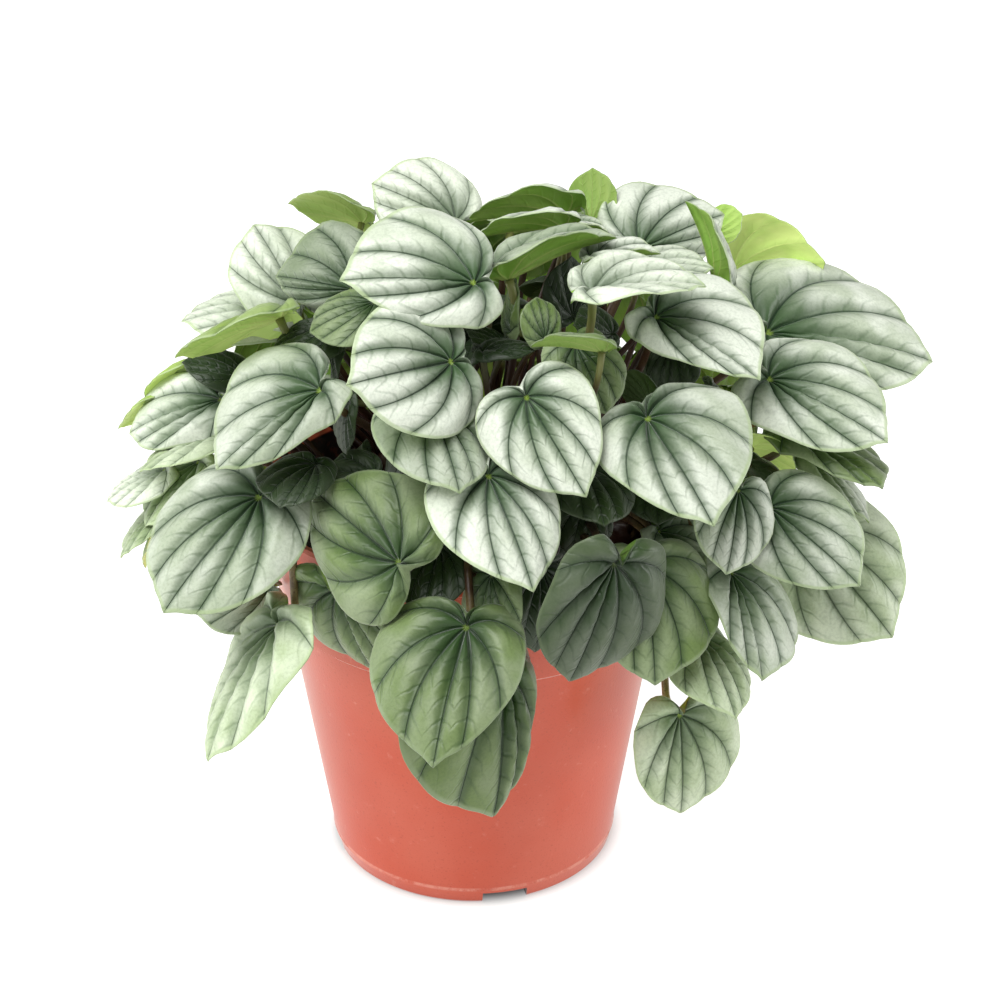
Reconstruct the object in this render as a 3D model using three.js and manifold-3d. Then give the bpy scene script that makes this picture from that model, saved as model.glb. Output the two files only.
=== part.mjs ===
// Potted peperomia: silvery heart-shaped leaves on thin stalks, in a 12 cm grower's pot.
// Millimetres, +Z up. The origin is on the floor, under the middle of the whole plant.
import * as THREE from "three";
import { mergeVertices } from "three/addons/utils/BufferGeometryUtils.js";
import Module from "manifold-3d";

// Driving dimensions
const POT = {
  height: 113,
  rimRadius: 60,
  rimHeight: 4.5,
  baseRadius: 41.3,
  mouthRadius: 58.5,
  wall: 1.5,
  collarBottom: 79,
  collarProud: 1,
  footHeight: 5,
  footWidth: 4.6,
  footBead: 0.5,
  floorUnder: 3,
  floorTop: 6,
  edge: 0.8,
  sides: 32,
};
const DRAIN = { count: 5, radius: 4.5, ring: 25, sides: 12 };
const NOTCH = { count: 4, width: 13, height: 3.6, depth: 11.2, turn: -77 };
const SOIL = { top: 102, middleRise: 2.5, middleRadius: 22, gap: 0.3 };
const CROWN = {
  radius: 5,
  depth: 13,
  rise: 8,
  gap: 0.35,
  sides: 8,
  waist: 0.6,
  shoulder: 0.1,
  topRadius: 0.72,
  sunk: 1.2,
  spread: 0.8,
  lowest: 0.25,
  climb: 0.65,
  gather: 0.7,
  layers: 3,
};
const STALK = {
  radius: 1.15,
  smallRadius: 0.9,
  sides: 3,
  rootAcross: 0.2,
  rootAlong: 0.25,
  rise: 0.38,
  spread: 0.12,
  arrive: 0.25,
  hang: 0.12,
  steps: 3,
  smallSteps: 3,
  rimSteps: 6,
};
const OVER_RIM = { below: 12, inside: 11, outside: 5, high: 7, low: 5, apart: 2.6, aside: 0.07 };
const BLADE = {
  thickness: 0.7,
  widthToLength: 1.1,
  bulge: 0.07,
  sideDroop: 0.06,
  wave: 0.018,
  waves: 3,
  flankAcross: 0.3,
  flankAlong: 0.1,
  midrib: 0.45,
  flankOut: 0.5,
  smallLeaf: 24,
};

// The camera's place in the pot's frame, so that a leaf can be given as seen from the front:
// the eye's distance to the point aimed at, the lens in pixels and the downward tilt.
const VIEW = { distance: 600, lens: 2134, tilt: 25.8, aim: [7.85, 0, 107.85], middlePixel: 500 };

// The plant's dome, which the leaves' attachment points lie near
const DOME = {
  centre: new THREE.Vector3(11, 4, 108),
  radius: new THREE.Vector3(86, 78, 82),
};

// Half of a leaf's outline from tip to sinus: share of the half width, share of the length
const HALF_OUTLINE = [
  [0, 1],
  [0.4, 0.885],
  [0.79, 0.65],
  [1, 0.35],
  [0.97, 0.06],
  [0.69, -0.16],
  [0.28, -0.2],
  [0, -0.09],
];
const SMALL_OUTLINE = HALF_OUTLINE.filter((_, i) => i !== 1 && i !== 5);
const WIDEST = 0.28;
const LOBE = -0.2;

// Each plantlet's crown stands at its place in the soil. Its leaves are read from the front
// view in pixels: where the stalk meets the blade, the tip, a point on each side at the
// widest place, and how far in millimetres it stands in front of the dome.
// A leaf with under set shows its underside. One with fold set is folded up along its midrib
// by that angle and seen edge-on, its face leaning towards the eye by the angle face.
const PLANTLETS = {
  upper_left: {
    crown: [-14, 8],
    leaves: [
      { attach: [455, 222], tip: [374, 184], sides: [438, 161, 398, 240], lift: -18 },
      { attach: [362, 222], tip: [291, 203], sides: [330, 192, 335, 228], lift: 0, under: true },
      { attach: [300, 305], tip: [255, 226], sides: [231, 276, 325, 235], lift: -6 },
      { attach: [285, 312], tip: [184, 320], sides: [215, 293, 240, 345], lift: -12 },
      { attach: [279, 317], tip: [178, 355], sides: [238, 320, 246, 341], lift: 14, under: true },
      { attach: [352, 290], tip: [277, 276], sides: [325, 221, 300, 306], lift: 0 },
      { attach: [375, 303], tip: [311, 331], sides: [335, 296, 352, 346], lift: 2 },
      { attach: [330, 325], tip: [274, 347], sides: [295, 325, 318, 364], lift: -8 },
      { attach: [335, 345], tip: [327, 394], sides: [320, 366, 339, 370], lift: -13 },
      { attach: [321, 391], tip: [219, 467], sides: [245, 361, 303, 441], lift: 7.5 },
      { attach: [350, 402], tip: [346, 453], sides: [333, 428, 354, 428], lift: -12 },
    ],
  },
  top: {
    crown: [12, -6],
    leaves: [
      { attach: [566, 214], tip: [468, 223], face: -5, fold: 25, lift: -12 },
      { attach: [563, 227], tip: [477, 236], face: 6, fold: 25, lift: -2 },
      { attach: [566, 226], tip: [607, 231], face: 20, fold: 30, lift: -14 },
      { attach: [508, 278], tip: [612, 237], face: 14, fold: 32, lift: -4 },
      { attach: [592, 222], tip: [593, 169], sides: [568, 192, 617, 192], lift: -20, under: true },
      { attach: [640, 250], tip: [722, 215], sides: [628, 184, 690, 266], lift: -17 },
      { attach: [594, 262], tip: [658, 252], face: 22, fold: 30, lift: 2 },
      { attach: [592, 296], tip: [702, 287], face: 30, fold: 25, lift: 13 },
      { attach: [640, 268], tip: [712, 268], sides: [672, 246, 676, 284], lift: -10 },
      { attach: [716, 284], tip: [689, 203], face: 10, fold: 32, lift: 5 },
      { attach: [575, 345], tip: [606, 412], sides: [550, 388, 624, 362], lift: -6 },
      { attach: [612, 335], tip: [575, 325], sides: [590, 304, 597, 345], lift: -14 },
      { attach: [545, 340], tip: [537, 298], sides: [520, 318, 560, 316], lift: -8 },
      { attach: [602, 350], tip: [533, 344], face: 5, fold: 25, lift: 12 },
      { attach: [483, 352], tip: [538, 347], sides: [505, 339, 508, 359], lift: -10 },
      { attach: [512, 332], tip: [514, 276], sides: [504, 305, 519, 300], lift: -18 },
      { attach: [506, 347], tip: [467, 329], sides: [485, 327, 480, 350], lift: -20 },
      { attach: [572, 316], tip: [572, 258], sides: [543, 292, 593, 290], lift: -26 },
    ],
  },
  upper_right: {
    crown: [32, 8],
    leaves: [
      { attach: [733, 270], tip: [823, 262], sides: [754, 214, 786, 312], lift: -31, under: true },
      { attach: [712, 235], tip: [742, 215], sides: [722, 204, 735, 240], lift: -22, under: true },
      { attach: [655, 318], tip: [756, 377], sides: [728, 283, 655, 353], lift: 4 },
      { attach: [766, 334], tip: [929, 360], sides: [825, 259, 850, 390], lift: 0 },
      { attach: [650, 402], tip: [620, 372], sides: [650, 378, 624, 398], lift: -16, under: true },
      { attach: [672, 348], tip: [668, 396], sides: [646, 370, 700, 372], lift: -16 },
    ],
  },
  right: {
    crown: [42, -14],
    leaves: [
      { attach: [768, 380], tip: [884, 440], sides: [848, 351, 787, 438], lift: 6 },
      { attach: [790, 437], tip: [880, 486], sides: [866, 445, 810, 462], lift: 0 },
      { attach: [800, 455], tip: [868, 520], sides: [872, 476, 828, 484], lift: -6 },
      { attach: [752, 447], tip: [795, 468], sides: [778, 440, 770, 470], lift: -20, under: true },
      { attach: [750, 463], tip: [786, 500], sides: [780, 472, 748, 488], lift: -16, under: true },
      { attach: [769, 508], tip: [857, 583], sides: [836, 490, 760, 570], lift: 4 },
      { attach: [800, 530], tip: [890, 634], sides: [886, 520, 780, 620], lift: -6 },
      { attach: [738, 490], tip: [727, 572], sides: [694, 515, 773, 530], lift: 8 },
    ],
  },
  front_right: {
    crown: [25, -30],
    leaves: [
      { attach: [647, 419], tip: [711, 521], sides: [599, 462, 742, 404], lift: 4 },
      { attach: [585, 468], tip: [604, 524], sides: [550, 494, 634, 494], lift: -16 },
      { attach: [655, 470], tip: [658, 523], sides: [622, 500, 695, 500], lift: -16 },
      { attach: [658, 532], tip: [720, 574], sides: [706, 522, 676, 566], lift: -20 },
      { attach: [588, 497], tip: [584, 560], sides: [549, 535, 613, 528], lift: -24 },
      { attach: [730, 572], tip: [762, 677], sides: [720, 618, 796, 622], lift: -4 },
      { attach: [643, 565], tip: [655, 682], sides: [598, 625, 718, 612], lift: -8 },
      { attach: [614, 563], tip: [571, 679], sides: [539, 614, 657, 625], lift: 11 },
      { attach: [697, 635], tip: [735, 716], sides: [669, 676, 746, 668], lift: -14 },
      { attach: [679, 714], tip: [681, 811], sides: [636, 768, 739, 742], lift: -6 },
    ],
  },
  front: {
    crown: [2, -37],
    leaves: [
      { attach: [474, 284], tip: [345, 280], sides: [422, 208, 450, 327], lift: 12 },
      { attach: [451, 362], tip: [351, 384], sides: [395, 300, 445, 437], lift: 6 },
      { attach: [432, 410], tip: [459, 490], sides: [376, 441, 489, 440], lift: -1.5 },
      { attach: [526, 397], tip: [584, 493], sides: [484, 448, 590, 385], lift: 6 },
      { attach: [488, 476], tip: [532, 587], sides: [430, 520, 553, 490], lift: 0 },
      { attach: [492, 575], tip: [498, 656], sides: [462, 612, 522, 600], lift: -5 },
      { attach: [540, 568], tip: [536, 650], sides: [504, 608, 574, 594], lift: -11 },
      { attach: [467, 627], tip: [434, 762], sides: [373, 652, 522, 672], lift: 7 },
      { attach: [500, 665], tip: [496, 826], sides: [420, 728, 543, 712], lift: -4 },
      { attach: [440, 546], tip: [424, 612], sides: [394, 583, 468, 588], lift: -14 },
    ],
  },
  front_left: {
    crown: [-24, -27],
    leaves: [
      { attach: [400, 563], tip: [316, 491], sides: [347, 613, 430, 488], lift: 2 },
      { attach: [315, 465], tip: [281, 506], sides: [257, 478, 322, 494], lift: -6 },
      { attach: [374, 478], tip: [322, 487], sides: [350, 450, 360, 502], lift: -21 },
      { attach: [260, 497], tip: [166, 609], sides: [166, 505, 275, 583], lift: 4 },
      { attach: [268, 590], tip: [198, 613], sides: [235, 598, 246, 636], lift: -24 },
      { attach: [279, 625], tip: [209, 756], sides: [235, 645, 291, 680], lift: 4 },
      { attach: [338, 588], tip: [372, 668], sides: [296, 610, 394, 624], lift: -8 },
    ],
  },
  left: {
    crown: [-38, 2],
    leaves: [
      { attach: [222, 400], tip: [131, 432], sides: [190, 360, 170, 448], lift: 5 },
      { attach: [245, 378], tip: [183, 362], sides: [215, 349, 206, 386], lift: -8 },
      { attach: [198, 366], tip: [144, 402], sides: [158, 376, 170, 392], lift: -13, under: true },
      { attach: [160, 402], tip: [119, 427], sides: [138, 403, 142, 420], lift: -16, under: true },
      { attach: [218, 436], tip: [141, 470], sides: [178, 442, 190, 462], lift: -5 },
      { attach: [165, 470], tip: [108, 500], sides: [125, 473, 138, 505], lift: -12 },
      { attach: [199, 462], tip: [146, 524], sides: [155, 478, 192, 512], lift: -7.5 },
      { attach: [175, 500], tip: [121, 556], sides: [133, 524, 154, 534], lift: -15 },
      { attach: [168, 515], tip: [145, 566], sides: [149, 546, 160, 550], lift: -23, under: true },
    ],
  },
  back_left: { crown: [-24, 30], leaves: [] },
  back: { crown: [6, 38], leaves: [] },
  back_right: { crown: [34, 30], leaves: [] },
};

// Leaves that the front view hides stand in rings round the back of the dome, in degrees:
// how high on the dome, the first and last azimuth, and each leaf's length in millimetres
const BACK_RINGS = [
  { rise: -14, from: 30, to: 150, count: 4, length: 34, lift: -7 },
  { rise: 8, from: 16, to: 156, count: 7, length: 34, lift: -3 },
  { rise: 30, from: 36, to: 150, count: 6, length: 32, lift: 2 },
  { rise: 47, from: 58, to: 138, count: 4, length: 30, lift: 2 },
  { rise: 60, from: 92, to: 122, count: 2, length: 25, lift: -6 },
];
const BACK = {
  split: [70, 115],
  pitch: 16,
  shingle: 13,
  turn: 16,
  spread: 2.5,
  sizeSpread: 0.08,
  shareSpread: 0.05,
  seed: 4711,
};

// Young leaves stand inside the dome at drawn places, in millimetres inward from the dome and
// degrees round and above its middle. Those draws are kept whose place has room.
const YOUNG = {
  inward: 28,
  inwardSpread: 13,
  rise: 40,
  riseSpread: 36,
  length: 21,
  lengthSpread: 3,
  pitch: 12,
  place: { height: 0.95, out: 0.15, turn: 0, layer: 1 },
  kept: [0, 9, 15, 52, 202, 226, 308, 310, 315, 321],
};

// How far a leaf's points may be moved, in pixels, so that it shows where the view has it
const FIT = { rounds: 4, most: 14 };

// How much facing upwards counts beside facing outwards, where a leaf could be turned two ways
const UPWARD_WEIGHT = 0.5;

// The least and the most that a leaf's widest place and its left half's share can be
const BELLY_RANGE = [0.05, 0.5];
const SHARE_RANGE = [0.25, 0.75];

const COLOURS = {
  pot: { color: 0xd4624e, roughness: 0.5 },
  soil: { color: 0x3a2a1e, roughness: 0.95 },
  foliage: { color: 0x9fb394, roughness: 0.55 },
};

const DRAW_STEP = 16807;
const DRAW_RANGE = 2147483647;
const CLOSE = 1e-4;

const wasm = await Module();
wasm.setup();

// Shared helpers

const degrees = THREE.MathUtils.degToRad;

function vector(x, y, z) {
  return new THREE.Vector3(x, y, z);
}

// A seeded draw between -1 and 1
let drawState = BACK.seed;
function draw() {
  drawState = (drawState * DRAW_STEP) % DRAW_RANGE;
  return (2 * drawState) / DRAW_RANGE - 1;
}

// A closed geometry as a solid that can be joined and cut
function solid(geometry) {
  const bare = geometry.clone();
  bare.deleteAttribute("normal");
  bare.deleteAttribute("uv");
  const merged = mergeVertices(bare, CLOSE);
  return new wasm.Manifold(
    new wasm.Mesh({
      numProp: 3,
      vertProperties: new Float32Array(merged.attributes.position.array),
      triVerts: new Uint32Array(merged.index.array),
    }),
  );
}

// Pieces fused into one body, with no sealed hollow and no loose scrap
function join(solids) {
  const whole = solids.reduce((sum, piece) => sum.add(piece));
  return whole.decompose().reduce((most, body) => (body.volume() > most.volume() ? body : most));
}

function mesh(name, shape, look) {
  const made = shape.getMesh();
  const geometry = new THREE.BufferGeometry();
  geometry.setAttribute("position", new THREE.BufferAttribute(made.vertProperties, 3));
  geometry.setIndex(new THREE.BufferAttribute(made.triVerts, 1));
  geometry.computeVertexNormals();
  const material = new THREE.MeshStandardMaterial({ ...look, metalness: 0 });
  const piece = new THREE.Mesh(geometry, material);
  piece.name = name;
  return piece;
}

// A profile of [radius, height] points turned round the upright axis
function turned(profile, sides) {
  const points = profile.map(([radius, height]) => new THREE.Vector2(radius, height));
  const geometry = new THREE.LatheGeometry(points, sides);
  geometry.rotateX(degrees(90));
  return geometry;
}

// Pot

function wallRadius(height) {
  const share = height / POT.height;
  return POT.baseRadius + (POT.mouthRadius - POT.baseRadius) * share;
}

function potSolid() {
  const rimBottom = POT.height - POT.rimHeight;
  const collar = (height) => wallRadius(height) + POT.collarProud;
  const inside = (height) => wallRadius(height) - POT.wall;
  const profile = [
    [0, POT.floorUnder],
    [POT.baseRadius - POT.footWidth - POT.edge, POT.floorUnder],
    [POT.baseRadius - POT.footWidth, 0],
    [POT.baseRadius - POT.edge, 0],
    [POT.baseRadius, POT.edge],
    [wallRadius(POT.footHeight) + POT.footBead, POT.footHeight - POT.footBead],
    [wallRadius(POT.footHeight), POT.footHeight + POT.footBead],
    [wallRadius(POT.collarBottom), POT.collarBottom],
    [collar(POT.collarBottom + POT.collarProud), POT.collarBottom + POT.collarProud],
    [collar(rimBottom), rimBottom],
    [POT.rimRadius, rimBottom + POT.edge],
    [POT.rimRadius, POT.height - POT.edge],
    [POT.rimRadius - POT.edge, POT.height],
    [inside(POT.height) + POT.edge, POT.height],
    [inside(POT.height), POT.height - POT.edge],
    [inside(POT.floorTop), POT.floorTop],
    [0, POT.floorTop],
  ];
  let body = solid(turned(profile, POT.sides));
  for (let i = 0; i < DRAIN.count; i++) {
    const hole = new THREE.CylinderGeometry(DRAIN.radius, DRAIN.radius, 4 * POT.floorTop, DRAIN.sides);
    hole.rotateX(degrees(90));
    hole.translate(DRAIN.ring, 0, POT.floorTop);
    hole.rotateZ((2 * Math.PI * i) / DRAIN.count);
    body = body.subtract(solid(hole));
  }
  for (let i = 0; i < NOTCH.count; i++) {
    const notch = new THREE.BoxGeometry(NOTCH.depth, NOTCH.width, 2 * NOTCH.height);
    notch.translate(POT.baseRadius, 0, 0);
    notch.rotateZ(degrees(NOTCH.turn) + (2 * Math.PI * i) / NOTCH.count);
    body = body.subtract(solid(notch));
  }
  return body;
}

// Soil, with a plain hole for each crown

function soilSolid() {
  const inside = (height) => wallRadius(height) - POT.wall - SOIL.gap;
  const bottom = POT.floorTop + SOIL.gap;
  const profile = [
    [0, bottom],
    [inside(bottom), bottom],
    [inside(SOIL.top), SOIL.top],
    [SOIL.middleRadius, SOIL.top + SOIL.middleRise],
    [0, SOIL.top + SOIL.middleRise],
  ];
  let body = solid(turned(profile, POT.sides));
  for (const plantlet of Object.values(PLANTLETS)) {
    const radius = CROWN.radius + CROWN.gap;
    const hole = new THREE.CylinderGeometry(radius, radius, 2 * CROWN.depth, CROWN.sides);
    hole.rotateX(degrees(90));
    hole.translate(...plantlet.crown, SOIL.top);
    body = body.subtract(solid(hole));
  }
  return body;
}

// Leaf places

const TILT = degrees(VIEW.tilt);
const ACROSS = vector(1, 0, 0);
const UPWARD = vector(0, Math.sin(TILT), Math.cos(TILT));
const AWAY = vector(0, Math.cos(TILT), -Math.sin(TILT));
const EYE = vector(...VIEW.aim).addScaledVector(AWAY, -VIEW.distance);

// The line of sight through a pixel, one millimetre deep
function sight([x, y]) {
  return AWAY.clone()
    .addScaledVector(ACROSS, (x - VIEW.middlePixel) / VIEW.lens)
    .addScaledVector(UPWARD, (VIEW.middlePixel - y) / VIEW.lens);
}

// How deep the line of sight through a pixel meets the dome's near side
function domeDepth(pixel) {
  const along = sight(pixel).divide(DOME.radius);
  const start = EYE.clone().sub(DOME.centre).divide(DOME.radius);
  const a = along.dot(along);
  const b = start.dot(along);
  const c = start.dot(start) - 1;
  return (-b - Math.sqrt(Math.max(b * b - a * c, 0))) / a;
}

function domeNormal(point) {
  return point.clone().sub(DOME.centre).divide(DOME.radius).divide(DOME.radius).normalize();
}

// The place of a leaf seen from the front. Its length and its width are seen foreshortened
// by different amounts, and as they are square to each other in a known ratio, that gives
// the leaf's turn in space. Of the two answers the one that faces out of the dome is kept.
function seenLeaf({ attach, tip, sides, lift, under = false }) {
  const ratio = BLADE.widthToLength;
  const depth = domeDepth(attach) - lift;
  const scale = depth / VIEW.lens;
  const origin = EYE.clone().addScaledVector(sight(attach), depth);
  const seen = (x, y) => new THREE.Vector2((x - attach[0]) * scale, (attach[1] - y) * scale);
  const length = seen(...tip);
  let near = seen(sides[0], sides[1]);
  let far = seen(sides[2], sides[3]);
  const swapped = length.cross(far.clone().sub(near)) * (under ? -1 : 1) > 0;
  if (swapped) {
    [near, far] = [far, near];
  }
  const width = far.clone().sub(near);
  const slant = length.cross(width);
  const sum = width.lengthSq() + ratio * ratio * length.lengthSq();
  const root = Math.sqrt(Math.max(sum * sum - 4 * ratio * ratio * slant * slant, 0));
  const size = Math.sqrt((sum + root) / 2) / ratio;
  const lengthDepth = Math.sqrt(Math.max(1 - length.lengthSq() / size ** 2, 0));
  let widthDepth = Math.sqrt(Math.max(1 - width.lengthSq() / (ratio * size) ** 2, 0));
  if (length.dot(width) > 0) widthDepth = -widthDepth;
  const outward = domeNormal(origin);
  const answers = [1, -1].map((sign) => {
    const along = ACROSS.clone()
      .multiplyScalar(length.x / size)
      .addScaledVector(UPWARD, length.y / size)
      .addScaledVector(AWAY, -sign * lengthDepth)
      .normalize();
    const across = ACROSS.clone()
      .multiplyScalar(width.x / size / ratio)
      .addScaledVector(UPWARD, width.y / size / ratio)
      .addScaledVector(AWAY, -sign * widthDepth);
    across.addScaledVector(along, -across.dot(along)).normalize();
    const normal = across.clone().cross(along);
    const score = normal.dot(outward) + UPWARD_WEIGHT * normal.z;
    return { origin, size, along, across, normal, score };
  });
  const best = answers[0].score >= answers[1].score ? answers[0] : answers[1];
  const belly = near.cross(width) / slant;
  const share = -length.cross(near) / slant;
  return {
    ...best,
    swapped,
    fold: 0,
    belly: THREE.MathUtils.clamp(belly, ...BELLY_RANGE),
    share: THREE.MathUtils.clamp(share, ...SHARE_RANGE),
  };
}

// The pixel at which the front view shows a point
function shownAt(point) {
  const from = point.clone().sub(EYE);
  const scale = VIEW.lens / from.dot(AWAY);
  return [
    VIEW.middlePixel + from.dot(ACROSS) * scale,
    VIEW.middlePixel - from.dot(UPWARD) * scale,
  ];
}

// A leaf whose tip and sides, once arched and drooped, show where the front view has them
function fittedLeaf(row) {
  const aim = [...row.tip, ...row.sides];
  const moved = aim.map(() => 0);
  const placed = () => {
    const [tipX, tipY, ...sides] = aim.map((value, i) => value + moved[i]);
    return seenLeaf({ ...row, tip: [tipX, tipY], sides });
  };
  for (let round = 0; round < FIT.rounds; round++) {
    const leaf = placed();
    const width = BLADE.widthToLength;
    const left = { x: -leaf.share * width, y: leaf.belly, out: 1 };
    const right = { x: (1 - leaf.share) * width, y: leaf.belly, out: 1 };
    const ends = [{ x: 0, y: 1, out: 1 }, ...(leaf.swapped ? [right, left] : [left, right])];
    const shown = ends.flatMap((end) => shownAt(bladePoint(leaf, end)));
    shown.forEach((value, i) => {
      moved[i] = THREE.MathUtils.clamp(moved[i] + aim[i] - value, -FIT.most, FIT.most);
    });
  }
  return placed();
}

// A leaf seen edge-on and folded along its midrib, which shows at its full length. Its face
// is square to the line of sight but for its lean.
function foldedLeaf({ attach, tip, face, fold, lift }) {
  const depth = domeDepth(attach) - lift;
  const scale = depth / VIEW.lens;
  const origin = EYE.clone().addScaledVector(sight(attach), depth);
  const along = ACROSS.clone()
    .multiplyScalar((tip[0] - attach[0]) * scale)
    .addScaledVector(UPWARD, (attach[1] - tip[1]) * scale);
  const size = along.length();
  along.normalize();
  const normal = along.clone().cross(AWAY);
  if (normal.dot(domeNormal(origin)) < 0) {
    normal.negate();
  }
  normal.multiplyScalar(Math.cos(degrees(face))).addScaledVector(AWAY, -Math.sin(degrees(face)));
  const across = along.clone().cross(normal);
  return { origin, size, along, across, normal, fold: degrees(fold), belly: WIDEST, share: 0.5 };
}

function placedLeaf(row) {
  return row.fold === undefined ? fittedLeaf(row) : foldedLeaf(row);
}

// A leaf at a place on the dome, its tip downhill, turned on the dome's surface, then pitched
// up at its tip and tilted to one side
function domeLeaf({ rise, azimuth, lift, turn, pitch, shingle, size, share }) {
  const outward = vector(
    Math.cos(rise) * Math.cos(azimuth),
    Math.cos(rise) * Math.sin(azimuth),
    Math.sin(rise),
  );
  const origin = outward.clone().multiply(DOME.radius).add(DOME.centre);
  origin.addScaledVector(outward, lift);
  const normal = domeNormal(origin);
  const along = vector(0, 0, -1).projectOnPlane(normal).normalize();
  along.applyAxisAngle(normal, turn);
  const across = along.clone().cross(normal).normalize();
  along.applyAxisAngle(across, -pitch);
  normal.applyAxisAngle(across, -pitch);
  across.applyAxisAngle(along, shingle);
  normal.applyAxisAngle(along, shingle);
  return { origin, size, along, across, normal, fold: 0, belly: WIDEST, share };
}

// A leaf on the back of the dome
function ringLeaf(ring, azimuth) {
  return domeLeaf({
    rise: degrees(ring.rise + BACK.spread * draw()),
    azimuth: degrees(azimuth + BACK.spread * draw()),
    lift: ring.lift,
    turn: degrees(BACK.turn * draw()),
    pitch: degrees(BACK.pitch),
    shingle: degrees(BACK.shingle),
    size: ring.length * (1 + BACK.sizeSpread * draw()),
    share: 0.5 + BACK.shareSpread * draw(),
  });
}

// A young leaf at a drawn place inside the dome
function youngLeaf() {
  return domeLeaf({
    rise: degrees(YOUNG.rise + YOUNG.riseSpread * draw()),
    azimuth: Math.PI * draw(),
    lift: -YOUNG.inward - YOUNG.inwardSpread * draw(),
    turn: degrees(BACK.turn * draw()),
    pitch: degrees(YOUNG.pitch),
    shingle: degrees(BACK.shingle * draw()),
    size: YOUNG.length + YOUNG.lengthSpread * draw(),
    share: 0.5,
  });
}

// Leaf blades and stalks

function isSmall(leaf) {
  return leaf.size < BLADE.smallLeaf;
}

// A blade's outline as [across, along] in shares of its length, widest at its belly
function outline({ belly, share }, half) {
  const side = (part) =>
    half.map(([x, y]) => {
      const upper = belly + ((y - WIDEST) / (1 - WIDEST)) * (1 - belly);
      const lower = LOBE + ((y - LOBE) / (WIDEST - LOBE)) * (belly - LOBE);
      return [x * part * BLADE.widthToLength, y > WIDEST ? upper : lower];
    });
  const right = side(1 - share);
  const left = side(-share).slice(1, -1).reverse();
  return [...right, ...left];
}

// The blade's inner points: the attachment, one on the midrib and one on each flank
function innerPoints(leaf) {
  const flank = BLADE.flankAcross * BLADE.widthToLength * 2;
  return [
    { x: 0, y: 0, out: 0 },
    { x: 0, y: BLADE.midrib, out: BLADE.midrib },
    { x: flank * (1 - leaf.share), y: BLADE.flankAlong, out: BLADE.flankOut },
    { x: -flank * leaf.share, y: BLADE.flankAlong, out: BLADE.flankOut },
  ];
}

// A point of the blade in space: arched between attachment and edge, its sides drooping,
// with slow waves along the edge, and its two halves folded up
function bladePoint(leaf, { x, y, out }) {
  const angle = Math.atan2(x, y);
  const arch = BLADE.bulge * 4 * out * (1 - out);
  const droop = BLADE.sideDroop * (out * Math.sin(angle)) ** 2;
  const wave = BLADE.wave * out * out * Math.sin(2 * BLADE.waves * angle + leaf.size);
  const raised = Math.abs(x) * Math.sin(leaf.fold);
  return leaf.origin
    .clone()
    .addScaledVector(leaf.across, x * Math.cos(leaf.fold) * leaf.size)
    .addScaledVector(leaf.along, y * leaf.size)
    .addScaledVector(leaf.normal, (arch - droop + wave + raised) * leaf.size);
}

// How far the under face is from the upper one along the leaf's normal, so that a folded
// half keeps its thickness
function depthOf(leaf) {
  return BLADE.thickness / Math.cos(leaf.fold);
}

// Where the stalk ends inside the blade, close to the attachment
function stalkEnd(leaf) {
  const [attach, rib, flank] = innerPoints(leaf).map((point) => bladePoint(leaf, point));
  return attach
    .multiplyScalar(1 - STALK.rootAcross - STALK.rootAlong)
    .addScaledVector(flank, STALK.rootAcross)
    .addScaledVector(rib, STALK.rootAlong)
    .addScaledVector(leaf.normal, -depthOf(leaf) / 2);
}

// A thin arched blade with the same triangles on both faces: from the attachment, a point
// on the midrib and one on each flank, out to the edge
function bladeGeometry(leaf) {
  const half = isSmall(leaf) ? SMALL_OUTLINE : HALF_OUTLINE;
  const rim = outline(leaf, half);
  const count = rim.length;
  const sinus = half.length - 1;
  const shoulder = isSmall(leaf) ? 1 : 2;
  const flat = [...innerPoints(leaf), ...rim.map(([x, y]) => ({ x, y, out: 1 }))];
  const points = flat.map((point) => bladePoint(leaf, point));
  const under = points.map((point) => point.clone().addScaledVector(leaf.normal, -depthOf(leaf)));
  const [attach, rib, right, left] = [0, 1, 2, 3];
  const edge = (i) => 4 + ((i + count) % count);
  const face = [
    [attach, right, rib],
    [attach, rib, left],
    [rib, right, edge(shoulder)],
    [rib, edge(-shoulder), left],
    [attach, edge(sinus), right],
    [attach, left, edge(sinus)],
  ];
  for (let i = 0; i < sinus; i++) {
    face.push([i < shoulder ? rib : right, edge(i + 1), edge(i)]);
    face.push([i < shoulder ? rib : left, edge(-i), edge(-i - 1)]);
  }
  const total = points.length;
  const back = face.map(([a, b, c]) => [a + total, c + total, b + total]);
  const side = [];
  for (let i = 0; i < count; i++) {
    const [here, next] = [edge(i), edge(i + 1)];
    side.push([here, next, next + total]);
    side.push([here, next + total, here + total]);
  }
  const geometry = new THREE.BufferGeometry().setFromPoints([...points, ...under]);
  geometry.setIndex([...face, ...back, ...side].flat());
  return geometry;
}

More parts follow.
